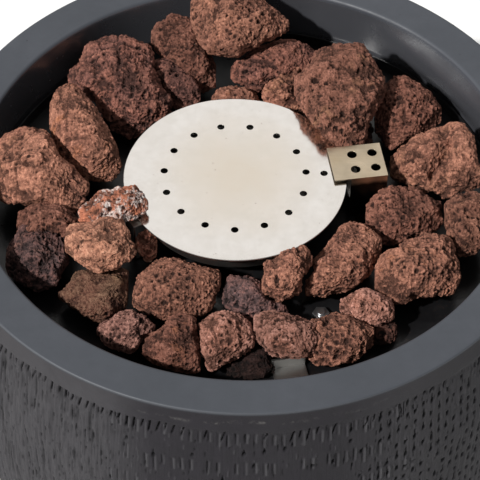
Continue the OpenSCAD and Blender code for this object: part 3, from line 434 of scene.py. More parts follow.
def brushed_mat(name, c1, c2, r=(0.28, 0.42), stretch=(1, 0.06, 1), bump=0.12, warm=0.0, dark_below=None):
    m = Mat(name)
    m.set(Metallic=1.0)
    line = m.noise(1400, 3, 0.6, stretch=stretch)
    cloud = m.noise(60, 4, 0.6)
    col = m.mix(m.remap(cloud, 0.32, 0.7), c1, c2)
    col = m.mix(m.remap(line, 0.35, 0.7, 0.0, 0.25), col, tuple(x * 0.72 for x in c1))
    if warm:
        col = m.mix(m.remap(m.noise(35, 3), 0.45, 0.7, 0.0, warm), col, (0.62, 0.47, 0.28))
    if dark_below:
        # darker below a height
        sp = m.node("ShaderNodeSeparateXYZ")
        m.link(m.coord.outputs["Object"], sp.inputs["Vector"])
        z = m.math("ADD", sp.outputs["Z"], m.math("MULTIPLY", m.math("SUBTRACT", m.noise(120, 3), 0.5), 0.004))
        col = m.mix(m.remap(z, dark_below[0], dark_below[1], 0.0, 0.96), col, (0.018, 0.016, 0.015))
    m.color(col)
    m.rough(m.remap(m.math("ADD", m.math("MULTIPLY", line, 0.5), m.math("MULTIPLY", cloud, 0.5)), 0.35, 0.65, *r))
    m.bump(line, bump, 0.0002)
    return m


def painted_mat(name, c1, c2, r=(0.42, 0.6), scale=1800, dust=0.0, bump=0.25):
    m = Mat(name)
    grain = m.noise(scale, 3, 0.6)
    cloud = m.noise(45, 4, 0.6)
    col = m.mix(m.remap(cloud, 0.3, 0.7), c1, c2)
    if dust:
        sp = m.math("MULTIPLY", m.remap(m.voronoi(420), 0.22, 0.08), m.remap(m.noise(55, 3), 0.46, 0.62), True)
        col = m.mix(m.math("MULTIPLY", sp, dust), col, (0.16, 0.08, 0.055))
        col = m.mix(m.remap(m.noise(130, 4), 0.55, 0.8, 0.0, dust * 0.4), col, (0.08, 0.055, 0.045))
    m.color(col)
    m.rough(m.remap(cloud, 0.3, 0.7, *r))
    m.bump(grain, bump, 0.0003)
    return m


def lava_mat(name, light, dark, accent, accent_amt=0.25, frost=0.0):
    m = Mat(name)
    big = m.noise(38, 4, 0.6)
    mid = m.noise(170, 5, 0.65)
    fine = m.noise(750, 5, 0.75)
    col = m.mix(m.remap(big, 0.34, 0.66), light, dark)
    col = m.mix(m.math("MULTIPLY", m.remap(m.noise(60, 3, 0.6, stretch=(1, 1.3, 0.8)), 0.56, 0.68), accent_amt, True), col, accent)
    col = m.mix(m.remap(mid, 0.40, 0.68, 0.0, 0.6), col, tuple(x * 0.5 for x in dark))
    # painted shade in the creases; the high grains painted lighter as painted highlight, with some dust
    high = m.attr("high")
    low = m.math("MULTIPLY", m.remap(high, 0.50, 0.16), 0.95, True)
    col = m.mix(low, col, tuple(x * 0.28 for x in dark))
    dust_and_highlight = tuple(min(1.0, x * 1.95 + 0.02) for x in light)
    top = m.math("MULTIPLY", m.remap(high, 0.52, 0.85), m.remap(fine, 0.38, 0.62), True)
    col = m.mix(m.math("MULTIPLY", top, 0.75), col, dust_and_highlight)
    fleck = m.math("MULTIPLY", m.remap(m.voronoi(1100), 0.30, 0.14), m.remap(mid, 0.42, 0.58), True)
    col = m.mix(m.math("MULTIPLY", fleck, 0.45), col, tuple(min(1.0, x * 2.1 + 0.04) for x in light))
    # tiny pores, painted near black as painted shade inside them
    speck = m.math("MULTIPLY", m.remap(m.voronoi(1000, rand=0.95), 0.32, 0.16), m.remap(m.noise(240, 3), 0.50, 0.60), True)
    col = m.mix(m.math("MULTIPLY", speck, 0.95), col, tuple(x * 0.16 for x in dark))
    # painted shade in the pores and soft cavities
    pit = m.attr("pit")
    col = m.mix(m.remap(pit, 0.28, 0.75), col, tuple(x * 0.13 for x in dark))
    if frost:
        f = m.math("MULTIPLY", m.remap(m.noise(85, 4, 0.7), 0.485, 0.575), m.remap(m.noise(600, 2), 0.34, 0.52), True)
        f = m.math("MULTIPLY", f, m.math("SUBTRACT", 1.0, m.remap(pit, 0.2, 0.6)), True)
        col = m.mix(m.math("MULTIPLY", f, frost), col, (0.78, 0.70, 0.66))
    m.color(col)
    m.rough(m.remap(mid, 0.3, 0.7, 0.82, 0.96))
    h = m.math("ADD", m.math("MULTIPLY", fine, 1.0), m.math("MULTIPLY", m.remap(m.voronoi(800), 0.0, 0.5), 0.45))
    h = m.math("SUBTRACT", h, m.math("MULTIPLY", speck, 0.5))
    m.bump(h, 1.0, 0.0013)
    m.set(Specular_IOR_Level=0.25)
    return m


# ------------------------------------------------------------------ lava rock
# name: centre as the photograph shows it from the burner's centre (mm right, mm up the
# slanted view), then light, dark and accent colour, accent share, share of big pores,
# share of small pores, lumpiness, frost
TAN = (0.30, 0.135, 0.088)
RED = (0.20, 0.085, 0.058)
PINK = (0.25, 0.125, 0.098)
BROWN = (0.16, 0.064, 0.044)
PLUM = (0.105, 0.046, 0.037)
OLIVE = (0.16, 0.09, 0.055)
ORANGE = (0.36, 0.13, 0.055)
OCHRE = (0.33, 0.18, 0.085)
LOOK = {
    "lava_rock_top": (TAN, RED, ORANGE, 0.15, 0.55, 0.9, 0.8, 0),
    "lava_rock_tall": (RED, BROWN, TAN, 0.3, 0.75, 0.9, 0.9, 0),
    "lava_rock_dark": (BROWN, PLUM, TAN, 0.25, 0.95, 1.0, 1.2, 0),
    "lava_rock_orange": (TAN, RED, ORANGE, 0.55, 0.15, 0.55, 0.6, 0),
    "lava_rock_left": (TAN, RED, OCHRE, 0.2, 0.25, 0.5, 1.0, 0),
    "lava_rock_hood": (RED, RED, OCHRE, 0.3, 0.9, 0.8, 1.3, 0),
    "lava_rock_right": (RED, BROWN, TAN, 0.2, 0.7, 0.9, 0.9, 0),
    "lava_rock_smooth": ((0.37, 0.17, 0.11), TAN, ORANGE, 0.1, 0.05, 0.35, 0.9, 0),
    "lava_rock_speckled": ((0.32, 0.11, 0.06), RED, ORANGE, 0.3, 0.9, 1.0, 1.3, 0.9),
    "lava_rock_purple": (PLUM, (0.07, 0.045, 0.045), TAN, 0.22, 1.0, 1.0, 1.0, 0),
    "lava_rock_front": (TAN, RED, BROWN, 0.3, 0.45, 1.0, 0.8, 0),
    "lava_rock_corner": (TAN, RED, ORANGE, 0.45, 0.7, 0.9, 1.2, 0),
}
GROUP = {
    "lava_rocks_back": [
        ("lava_rock_06", (-42, 64), (BROWN, PLUM, TAN, 0.2, 0.8, 0.9, 1.0, 0)),
        ("lava_rock_07", (0, 52), (TAN, RED, ORANGE, 0.3, 0.5, 0.9, 1.0, 0)),
        ("lava_rock_08", (25, 75), (BROWN, PLUM, RED, 0.3, 0.85, 1.0, 1.0, 0)),
        ("lava_rock_09", (35, 58), (TAN, BROWN, OCHRE, 0.3, 0.6, 0.7, 1.5, 0)),
        ("lava_rock_35", (72, 30), (BROWN, PLUM, TAN, 0.2, 0.7, 0.9, 1.0, 0)),
    ],
    "lava_rocks_side": [
        ("lava_rock_12", (125, 12), (TAN, RED, OCHRE, 0.25, 0.3, 0.6, 1.3, 0)),
        ("lava_rock_13", (152, 10), (PINK, RED, TAN, 0.2, 0.35, 0.7, 1.0, 0)),
        ("lava_rock_14", (115, -26), (RED, BROWN, PLUM, 0.3, 0.8, 0.9, 1.1, 0)),
        ("lava_rock_25", (-95, -78), (OLIVE, BROWN, OCHRE, 0.35, 0.4, 0.7, 1.0, 0)),
        ("lava_rock_29", (-61, -46), (RED, BROWN, PLUM, 0.2, 0.7, 0.8, 1.0, 0)),
        ("lava_rock_33", (155, -34), (TAN, BROWN, OCHRE, 0.2, 0.5, 0.8, 1.0, 0)),
        ("lava_rock_34", (-130, -34), (RED, BROWN, TAN, 0.25, 0.7, 0.9, 1.0, 0)),
    ],
    "lava_rocks_near": [
        ("lava_rock_16", (75, -55), (TAN, RED, ORANGE, 0.25, 0.7, 0.9, 1.2, 0)),
        ("lava_rock_17", (34, -64), (TAN, RED, BROWN, 0.3, 0.8, 0.9, 1.3, 0)),
        ("lava_rock_18", (89, -88), (PINK, RED, PLUM, 0.25, 0.9, 1.0, 1.3, 0)),
        ("lava_rock_19", (73, -109), (TAN, RED, BROWN, 0.3, 0.9, 0.9, 1.3, 0)),
        ("lava_rock_20", (36, -106), (PINK, RED, BROWN, 0.3, 0.8, 1.0, 1.2, 0)),
        ("lava_rock_21", (-6, -111), (PINK, RED, BROWN, 0.25, 0.75, 1.0, 1.1, 0)),
        ("lava_rock_22", (-40, -112), (RED, BROWN, ORANGE, 0.5, 0.6, 0.8, 1.4, 0)),
        ("lava_rock_23", (-73, -105), (PINK, PLUM, PLUM, 0.3, 1.0, 1.0, 1.1, 0)),
        ("lava_rock_30", (12, -82), (PLUM, (0.07, 0.045, 0.045), BROWN, 0.3, 0.9, 1.0, 1.2, 0)),
        # lava_rock_31's light colour is darkened too: painted shade of the front wall
        ("lava_rock_31", (10, -125), ((0.13, 0.05, 0.04), PLUM, RED, 0.3, 0.7, 0.9, 1.1, 0)),
        ("lava_rock_32", (101, -105), (BROWN, PLUM, RED, 0.3, 0.7, 0.9, 1.0, 0)),
    ],
}


# how much lighter or darker than its colours a stone is painted: partly its own tone, partly painted light and shade
# for how lit it sits; stone_31 and stone_32 are painted dark as painted shade of the front wall
LIT_AND_TONE_GAIN = {
    "stone_top": 1.28, "stone_tall": 1.12, "stone_03": 2.1, "stone_dark": 1.9, "stone_orange": 1.5, "stone_left": 1.65,
    "stone_06": 1.4, "stone_07": 1.25, "stone_08": 1.75, "stone_09": 1.5, "stone_hood": 1.25, "stone_right": 1.3,
    "stone_12": 1.4, "stone_13": 0.88, "stone_14": 1.35, "stone_corner": 1.4, "stone_16": 1.4, "stone_17": 1.6,
    "stone_18": 2.0, "stone_19": 1.3, "stone_20": 1.35, "stone_21": 1.85, "stone_22": 1.15, "stone_23": 1.55,
    "stone_front": 1.2, "stone_25": 1.05, "stone_purple": 1.6, "stone_smooth": 1.6, "stone_speckled": 1.5,
    "stone_29": 4.5, "stone_30": 2.2, "stone_31": 0.2, "stone_32": 0.65, "stone_33": 0.97, "stone_34": 1.15, "stone_35": 0.8,
}


def seen_at(p):
    """a point as (mm right, mm up the slanted view) from the burner's centre"""
    e = math.radians(46.47)
    x, y, z = p[0] - BX, p[1] - BY, p[2] - DISC_Z
    depth = 1.456 + y * math.cos(e) - z * math.sin(e)
    s = 1.456 / depth * 1000
    return x * s, (y * math.sin(e) + z * math.cos(e)) * s


def build_rock(name, verts, faces, look, seed):
    light, dark, accent, amt, big, small, lump, frost = look
    obj = mesh_object(name, verts, faces)
    ext = np.ptp(np.array(verts), axis=0)
    area = math.pi * (ext.mean()) ** 2
    voxel = 0.0022 if area < 0.009 else 0.0025
    r = obj.modifiers.new("r", "REMESH")
    r.mode = "VOXEL"
    r.voxel_size = voxel
    r.use_smooth_shade = True
    s = obj.modifiers.new("s", "SMOOTH")
    s.factor = 0.5
    s.iterations = 2
    d = obj.modifiers.new("d", "SUBSURF")
    d.levels = 2
    d.render_levels = 2
    apply_modifiers(obj)
    me = obj.data
    co = coords(me)
    box_lo, box_hi = co.min(0), co.max(0)
    # broken faces: planes that take the roundness off, mostly where the rock is seen
    rng = random.Random(seed * 17 + 5)
    mid = (box_lo + box_hi) / 2
    rel = co - mid
    look_at = np.array([0.0, -0.6887, 0.725])
    for k in range(15):
        d = np.array([rng.gauss(0, 1) for _ in range(3)])
        d /= np.linalg.norm(d)
        if k < 9:
            d = d * 0.75 + look_at
            d /= np.linalg.norm(d)
        toward = max(0.0, float(d @ look_at))
        h = (rel @ d).max()
        off = h * (1 - (rng.uniform(0.08, 0.23) if k < 9 else rng.uniform(0.05, 0.12)) * (0.30 + 0.70 * toward))
        over = np.maximum(rel @ d - off, 0)
        rel = rel - 0.94 * over[:, None] * d
    # a few hollows where gas bubbles burst
    reach = (box_hi - box_lo).min() / 2
    for k in range(4):
        d = np.array([rng.gauss(0, 1) for _ in range(3)])
        d = d / np.linalg.norm(d) * 0.9 + look_at
        d /= np.linalg.norm(d)
        at = rel[(rel @ d).argmax()] * rng.uniform(0.75, 1.0)
        r_ = reach * rng.uniform(0.28, 0.52)
        g_ = np.exp(-(np.linalg.norm((rel - at) * (1, 1, 1), axis=1) / r_) ** 2)
        rel = rel - (r_ * rng.uniform(0.18, 0.38)) * g_[:, None] * d
    co = rel + mid
    if name == "stone_hood":
        # this stone leans over the burner plate and clears it, so the plate mirrors its underside
        at = (co - (BX, BY, DISC_Z)) * 1000
        r_ = np.hypot(at[:, 0], at[:, 1])
        w_ = np.clip((96 - r_) / 36, 0, 1)
        w_ = w_ * w_ * (3 - 2 * w_)
        lift = 12.0 * w_
        low = np.clip(1 - at[:, 2] / 14, 0, 1)
        out = 3.5 * w_ * low / np.maximum(r_, 1)
        at[:, 0] += at[:, 0] * out
        at[:, 1] += at[:, 1] * out
        co = at / 1000 + (BX, BY, DISC_Z) + lift[:, None] * look_at * MM
        box_lo = np.minimum(box_lo, co.min(0))
        box_hi = np.maximum(box_hi, co.max(0))
    set_coords(me, co)
    no = normals(me)
    p = co * 1000.0
    sh = np.array([seed * 7.13, seed * 3.71, seed * 11.9])
    q = p + sh
    # broad lumps, blunt ridges and chipped hollows
    d1 = 0.8 * lump * vnoise(q / 14, seed) + 0.8 * lump * vnoise(q / 6.5, seed + 5)
    c0 = cells(q / 10.5, seed + 15, 0.35, 0.62, 0.85)
    d1 -= 1.3 * lump * c0
    d1 += 0.7 * lump * (0.5 - np.abs(vnoise(q / 8 + 3.1, seed + 9)) * 1.6)
    vein = np.clip(1 - np.abs(vnoise(q / 12.0 + 7.7, seed + 90)) * 4.5, 0, 1) * np.clip(vnoise(q / 17, seed + 91) * 2 + 0.5, 0, 1)
    d1 -= 1.1 * lump * vein
    # grain: rounded bumps with sharp creases between them, in three sizes
    g1 = 0.62 - 1.5 * np.abs(vnoise(q / 3.1, seed + 20))
    g2 = np.abs(vnoise(q / 1.9 + 5.2, seed + 22)) * 2.0 - 0.62
    g3 = vnoise(q / 1.15, seed + 24)
    grain = 0.42 * g1 + 0.48 * g2 + 0.30 * g3
    # pores in three sizes, thicker in some zones than in others
    zone = np.clip(vnoise(q / 13, seed + 40) * 0.9 + 0.6, 0.15, 1)
    warp = q + 0.5 * np.stack([vnoise(q / 1.7, seed + 50), vnoise(q / 1.7, seed + 51), vnoise(q / 1.7, seed + 52)], 1)
    c1 = cells(warp / 5.0, seed + 60, 0.20, 0.44, 0.30 + 0.65 * big) * zone
    c2 = cells(warp / 3.0, seed + 70, 0.22, 0.50, 0.35 + 0.60 * small) * np.clip(zone + 0.3, 0, 1)
    c3 = cells(warp / 1.8, seed + 80, 0.28, 0.56, 0.50 + 0.45 * small)
    d2 = -(2.4 * c1 * (0.3 + 0.7 * big) + 1.75 * c2 * (0.35 + 0.65 * small) + 1.2 * c3 * (0.5 + 0.5 * small))
    disp = d1 + grain * (0.55 + 0.45 * max(big, small)) + d2 + 1.15
    disp = np.clip(disp, -4.6, 2.6)
    co2 = co + no * disp[:, None] * MM
    co2 = np.minimum(np.maximum(co2, box_lo), box_hi)
    co2[:, 2] = np.maximum(co2[:, 2], PAN_Z + 0.0002)
    set_coords(me, co2)
    pit = np.clip(1.25 * c1 + 0.95 * c2 * (0.4 + 0.6 * small) + 0.6 * c3 * (0.3 + 0.7 * small), 0, 1)
    attribute(me, "pit", pit)
    attribute(me, "high", np.clip(0.5 + 0.50 * grain + 0.16 * d1 + 0.25 * d2 - 0.25 * vein, 0, 1))
    me.polygons.foreach_set("use_smooth", np.ones(len(me.polygons), bool))
    # the stone's colours scaled by its gain: partly tone, partly painted light and shade
    g = LIT_AND_TONE_GAIN.get(name, 1.2)
    light, dark, accent = (tuple(min(0.9, c * g) for c in t) for t in (light, dark, accent))
    assign(obj, lava_mat("lava_" + name, light, dark, accent, amt, frost))
    return obj


def rocks():
    seed = 3
    for node, look in LOOK.items():
        seed += 11
        parts = welded_parts(node)
        for k, (v, f) in enumerate(parts):
            o = build_rock(node.replace("lava_rock_", "stone_") + ("" if k == 0 else f"_{k}"), v, f, look, seed + k)
            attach(o, "bowl")
            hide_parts(node)
    for node, items in GROUP.items():
        free = list(items)
        for v, f in welded_parts(node):
            c = np.array(v).mean(0)
            u, w = seen_at(c)
            best = min(free, key=lambda it: (it[1][0] - u) ** 2 + (it[1][1] - w) ** 2)
            free.remove(best)
            seed += 11
            o = build_rock(best[0].replace("lava_rock_", "stone_"), v, f, best[2], seed)
            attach(o, "bowl")
            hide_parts(node)


rocks()


# ------------------------------------------------------------------ bowl
def resample(pts, step):
    """points along a polyline at about this spacing"""
    out = [pts[0]]
    for a, b in zip(pts, pts[1:]):
        a, b = np.array(a, float), np.array(b, float)
        n = max(1, int(round(np.linalg.norm(b - a) / step)))
        for k in range(1, n + 1):
            out.append(tuple(a + (b - a) * k / n))
    return out


def spline(pts, n):
    P = [np.array(p, float) for p in pts]
    out = []
    for i in range(len(P) - 1):
        a, b, c, d = P[max(i - 1, 0)], P[i], P[i + 1], P[min(i + 2, len(P) - 1)]
        for k in range(n):
            t = k / n
            out.append(tuple(0.5 * ((2 * b) + (c - a) * t + (2 * a - 5 * b + 4 * c - d) * t * t + (3 * b - a - 3 * c + d) * t ** 3)))
    out.append(tuple(P[-1]))
    return out


def arc(cx, cz, r, a0, a1, n):
    return [(cx + r * math.cos(math.radians(a0 + (a1 - a0) * k / n)), cz + r * math.sin(math.radians(a0 + (a1 - a0) * k / n))) for k in range(n + 1)]


def bowl():
    R, RI, H = 206.0, 179.0, 230.0
    side = spline([(R - 28, 5), (R - 22, 8), (R - 12, 16), (R - 3, 28), (R + 2.5, 42), (R + 6, 60), (R + 7.5, 84),
                   (R + 8, 112), (R + 8, 150), (R + 7.2, 163), (R + 5.4, 182), (R + 3.2, 202), (R + 1.6, H - 13), (R + 0.2, H - 1.9)], 8)
    side = [(min(r - 0.05, R + 7.95), max(z, 5.0)) for r, z in side]
    side = resample(side, 1.35)
    edge = arc(R - 1.2, H - 1.3, 1.3, 4, 90, 6)
    flat = resample([(R - 1.2, H), (RI + 2.6, H)], 3)[1:]
    lip = arc(RI + 2.6, H - 2.7, 2.7, 90, 176, 8)[1:]
    inside = resample([lip[-1], (RI - 3, 183.8)], 2.5)[1:]
    rest = resample([(RI - 3, 183.8), (RI - 27, 183.8), (RI - 27, 170), (RI - 8, 161), (R - 8, 148), (R - 8, 112), (R - 10, 84),
                     (R - 14, 60), (R - 21, 42), (R - 34, 25), (R - 45, 19), (R - 56, 19), (R - 56, 7), (R - 39, 7), (R - 39, 5), (R - 30, 5)], 12)[1:]
    prof = side + edge + flat + lip + inside + rest
    kind = [0] * len(side) + [1] * (len(edge) + len(flat) + len(lip)) + [2] * len(inside) + [3] * len(rest)
    prof = np.array(prof)
    kind = np.array(kind)
    NS, NC = 2200, 240
    th = np.arange(NS) * 2 * math.pi / NS
    rr = np.repeat(prof[:, 0][:, None], NS, 1)
    zz = np.repeat(prof[:, 1][:, None], NS, 1)
    T = np.repeat(th[None, :], len(prof), 0)
    # the hand-cast wall leans back under the lip at the back right
    def step(x):
        x = np.clip(x, 0, 1)
        return x * x * (3 - 2 * x)
    turn = np.abs((np.degrees(T) - 38 + 180) % 360 - 180)
    lean_in = 6.4 * step(1 - (turn - 4) / 20) * step((H - zz - 0.5) / 13) * step((H - 4 - zz) / 3 + 1) * (1 - step((H - zz - 20) / 18))
    rr = np.where((np.repeat(kind[:, None], NS, 1) >= 1) & (rr < RI + 2.6), rr - lean_in, rr)
    X, Y = rr * np.cos(T), rr * np.sin(T)
    P = np.stack([X.ravel(), Y.ravel(), zz.ravel()], 1)
    ang = np.degrees(T.ravel())
    zf = zz.ravel()

    def zone_at(mid_, full, gone):
        d = np.abs((ang - mid_ + 180) % 360 - 180)
        return np.clip((gone - d) / (gone - full), 0, 1)

    left = zone_at(188, 56, 66)                                   # combed lines, slashes under the band
    front = np.maximum(zone_at(272, 20, 30), zone_at(75, 40, 60))  # raised bars
    right = zone_at(333, 34, 48)                                  # square pits
    arc_s = T.ravel() * 214.0
    zero = np.zeros_like(arc_s)
    down = (H - 16.5) - zf + 1.3 * vnoise(P / 26, 11)
    fade = np.clip(down / 1.6 + 0.2, 0, 1) * np.clip((zf - 14) / 4, 0, 1)
    comb = 0.7 * vnoise(np.stack([arc_s / 1.15, zf / 13, zero + 61], 1), 3) + 0.8 * vnoise(np.stack([arc_s / 2.2, zf / 22, zero + 62], 1), 4)
    depth = 0.95 - 0.60 * comb * (0.14 + 0.86 * left + 0.22 * right) + 0.16 * np.abs(vnoise(P / 2.4, 31)) + 0.25 * (vnoise(P / 9, 32) * 0.5 + 0.5)

    def marks(px, pz, jz, seed, first=0.0, slant=0.0):
        """columns px apart broken into rows pz apart: where a point lies from the middle of its
        column and from the top of its cell, the row, and five random numbers for the cell"""
        n = round(2 * math.pi * 214 / px)
        c = T.ravel() * n / (2 * math.pi) + 0.9 / px * vnoise(np.stack([arc_s / 30, zf / 40, zero], 1), seed)
        col = np.floor(c)
        d = down - first + jz * (2 * _hash(col % n, zero, zero, seed) - 1) + slant * arc_s
        row = np.floor(d / pz)
        return (c - col - 0.5) * px, d - row * pz, row, [_hash(col % n, row, zero, seed + 1 + k) for k in range(5)]

    def window(z, a, b, soft=0.8):
        return np.clip(np.minimum(z - a, b - z) / soft, 0, 1)

    # bars gathers where the raised bars and ticks are painted lighter, as painted highlight
    bars = np.zeros_like(depth)
    # raised bars in rows, each with a cut at its side
    lx, lz, row, h = marks(5.9, 26.5, 1.4, 71, 0.5)
    on = (h[0] < 0.88 * front + 0.10 * left) * (row >= 0)
    a = 0.8 + 1.6 * h[2]
    win = window(lz, a, a + 9 + 5 * h[1])
    x = lx - 0.9 * (h[3] - 0.5)
    bar = np.exp(-(x / 0.85) ** 2) * win * on
    depth += -0.66 * bar + 0.85 * np.exp(-((x + 1.55) / 0.6) ** 2) * win * on * (0.35 + 0.65 * h[4])
    bars = bar * (0.35 + 0.65 * h[3])
    # a chain of slanting cuts under the smooth band
    lx, lz, row, h = marks(5.4, 400, 0.9, 81, -0.4)
    on = (h[0] < 0.96 * zone_at(188, 66, 73) + 0.25 * front + 0.25 * right) * (row == 0)
    a, b = 0.4 + 1.4 * h[2], 6.4 + 5.0 * h[1]
    x = lx - 0.9 * (h[4] - 0.5) - (0.10 + 0.28 * h[3]) * ((a + b) / 2 - lz)
    depth += 1.9 * np.exp(-(x / 0.52) ** 2) * window(lz, a, b, 0.7) * on
    # short ticks all over the combed side
    lx, lz, row, h = marks(3.1, 8.5, 3.0, 91)
    on = (h[0] < 0.62 * left + 0.28 * front + 0.35 * right) * (row >= 0)
    x = lx - 1.0 * (h[3] - 0.5)
    tick = np.exp(-(x / 0.5) ** 2) * window(lz, 1.0 + 1.5 * h[2], 4.0 + 4.0 * h[4]) * on
    depth += (1.25 * (h[1] > 0.45) - 0.60) * tick
    bars = np.maximum(bars, 0.45 * tick * (h[1] <= 0.45))
    # square pits in slanting rows, some with a cut running up from them
    lx, lz, row, h = marks(6.4, 11.5, 1.2, 101, 3.0, 0.16)
    on = (h[0] < 0.86 * right + 0.10 * front) * (row * 11.5 > -2)
    z0 = 6.5 + 2.0 * (h[1] - 0.5)
    x = lx - 1.0 * (h[4] - 0.5)
    depth += 2.3 * np.exp(-(x / 1.05) ** 4 - ((lz - z0) / 1.5) ** 4) * on * (0.45 + 0.55 * h[3])
    depth += 0.9 * np.exp(-(x / 0.55) ** 2) * window(lz, 0.5, z0, 1.0) * on * (h[2] > 0.45)
    depth = np.clip(depth, 0.03, 3.0)
    bar_highlight_mask = bars
    soft = 0.22 * (vnoise(P / 16, 33) * 0.5 + 0.5) + 0.10 * (vnoise(P / 4, 34) * 0.5 + 0.5)
    nick = cells(P / 6.0, 35, 0.08, 0.20, 0.10)
    depth = depth * fade + soft * (1 - fade) + 0.5 * nick
    isside = np.repeat((kind == 0)[:, None], NS, 1).ravel()
    topfade = np.clip((H - 2.0 - zz.ravel()) / 6, 0, 1)
    depth = np.where(isside, depth * np.maximum(topfade, 0), 0)
    # uneven hand-finished rim and lip
    isrim = np.repeat((kind == 1)[:, None], NS, 1).ravel()
    rimd = 0.10 * (vnoise(P / 22, 41) * 0.5 + 0.5) + 0.05 * (vnoise(P / 6, 42) * 0.5 + 0.5)
    rad = np.stack([np.cos(T.ravel()), np.sin(T.ravel())], 1)
    Q = P.copy()
    Q[:, 0] -= rad[:, 0] * depth
    Q[:, 1] -= rad[:, 1] * depth
    Q[:, 2] -= np.where(isrim, rimd, 0)
    Q *= MM
    M = len(prof)
    faces = []
    for i in range(M):
        j = (i + 1) % M
        a = i * NS + np.arange(NS)
        b = i * NS + (np.arange(NS) + 1) % NS
        c2 = j * NS + (np.arange(NS) + 1) % NS
        d2 = j * NS + np.arange(NS)
        faces.append(np.stack([a, b, c2, d2], 1))
    faces = np.concatenate(faces)
    me = bpy.data.meshes.new("bowl_shell")
    me.vertices.add(len(Q))
    me.vertices.foreach_set("co", Q.astype(np.float32).ravel())
    me.loops.add(faces.size)
    me.loops.foreach_set("vertex_index", faces.ravel().astype(np.int32))
    me.polygons.add(len(faces))
    me.polygons.foreach_set("loop_start", (np.arange(len(faces)) * 4).astype(np.int32))
    me.update(calc_edges=True)
    me.validate()
    attribute(me, "wall", np.where(isside, np.clip((H - 1.2 - zz.ravel()) / 0.8, 0, 1), 0))
    # deep dents, painted dark as painted shade
    attribute(me, "dent_shade", np.where(isside, np.clip((depth - 1.25) / 0.8, 0, 1), 0))
    # paler left and right of the wall: painted light
    attribute(me, "lit_sides", np.where(isside, np.clip(left + 0.80 * right + 0.35 * zone_at(75, 40, 60), 0, 1), 0))
    attribute(me, "comb", np.where(isside, fade * (0.35 + 0.65 * left), 0))
    wrap = me.attributes.new("wrap", "FLOAT_VECTOR", "POINT")
    wrap.data.foreach_set("vector", (np.stack([arc_s, zf, zero], 1) * MM).astype(np.float32).ravel())
    # where raised bars are painted lighter: painted highlight
    attribute(me, "bar_highlight", np.where(isside, bar_highlight_mask * fade, 0))
    band = np.exp(-((zz.ravel() - (H - 8.5 + 2.0 * vnoise(P / 25, 51))) / 0.9) ** 2) * np.clip(1 - np.abs((ang - 272 + 180) % 360 - 180) / 32, 0, 1)
    attribute(me, "scuff", np.where(isside, band, 0))
    attribute(me, "inner", np.repeat((kind >= 2)[:, None], NS, 1).ravel().astype(float))
    # the rim's outer edge, painted darker as painted shade
    edge_d = np.abs(zz.ravel() - (H - 1.4))
    attribute(me, "edge_shade", np.where((isside | isrim) & (rr.ravel() > R - 3), np.clip(1 - edge_d / 1.3, 0, 1) * 0.75, 0))
    me.polygons.foreach_set("use_smooth", np.ones(len(me.polygons), bool))
    obj = link(bpy.data.objects.new("bowl_shell", me))

    def cutter(name, make):
        bm = bmesh.new()
        make(bm)
        cm = bpy.data.meshes.new(name)
        bm.to_mesh(cm)
        bm.free()
        return link(bpy.data.objects.new(name, cm))

    def block(x0, x1, y0, y1, z0, z1, bev=0.0):
        def make(bm):
            bmesh.ops.create_cube(bm, size=1)
            for v in bm.verts:
                v.co = Vector((x0 if v.co.x < 0 else x1, y0 if v.co.y < 0 else y1, z0 if v.co.z < 0 else z1)) * MM
            if bev:
                es = [e for e in bm.edges if abs((e.verts[0].co - e.verts[1].co).normalized().y) > 0.9]
                bmesh.ops.bevel(bm, geom=es, offset=bev * MM, segments=6, affect="EDGES", profile=0.5)
        return make

    def rod(r, y0, y1, x, z, seg=64):
        def make(bm):
            m = Matrix.Translation(Vector((x, (y0 + y1) / 2, z)) * MM) @ Matrix.Rotation(math.pi / 2, 4, "X")
            bmesh.ops.create_cone(bm, cap_ends=True, segments=seg, radius1=r * MM, radius2=r * MM, depth=(y1 - y0) * MM, matrix=m)
        return make

    def boolean(kind_, make):
        c_ = cutter("cut", make)
        b_ = obj.modifiers.new("b", "BOOLEAN")
        b_.operation = kind_
        b_.solver = "MANIFOLD"
        b_.object = c_
        apply_modifiers(obj)
        bpy.data.objects.remove(c_)

    boolean("UNION", block(-72, 72, -197, -174, PANEL_Z * 1000 - 35, PANEL_Z * 1000 + 35))
    boolean("DIFFERENCE", block(-66, 66, -236, -188.5, PANEL_Z * 1000 - 30, PANEL_Z * 1000 + 30, 3.0))
    boolean("DIFFERENCE", block(-52, 52, -200, -140, PANEL_Z * 1000 - 19, PANEL_Z * 1000 + 19))
    boolean("UNION", rod(20, 168, 186, 0, 45))
    boolean("DIFFERENCE", rod(18, 186, 240, 0, 45, 96))
    boolean("DIFFERENCE", rod(9.3, 150, 200, 0, 45))
    me = obj.data
    me.polygons.foreach_set("use_smooth", np.ones(len(me.polygons), bool))
    me.set_sharp_from_angle(angle=math.radians(48))
    # the wall, the rubbed rim and the glazed inside are three finishes of one casting
    me.materials.clear()
    for part in ("wall", "rim", "inner"):
        me.materials.append(concrete_mat(part).m)
    nf = len(me.polygons)
    c_ = np.empty(nf * 3)
    me.polygons.foreach_get("center", c_)
    c_ = c_.reshape(-1, 3) * 1000
    rad_ = np.hypot(c_[:, 0], c_[:, 1])
    slot_ = np.where((rad_ > RI - 1.2) & (c_[:, 2] > H - 1.5), 1, np.where((rad_ < RI + 1.5) & (c_[:, 2] > 100), 2, 0))
    me.polygons.foreach_set("material_index", slot_.astype(np.int32))
    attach(obj, "bowl")
    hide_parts("fire_bowl")
    return obj


bowl()


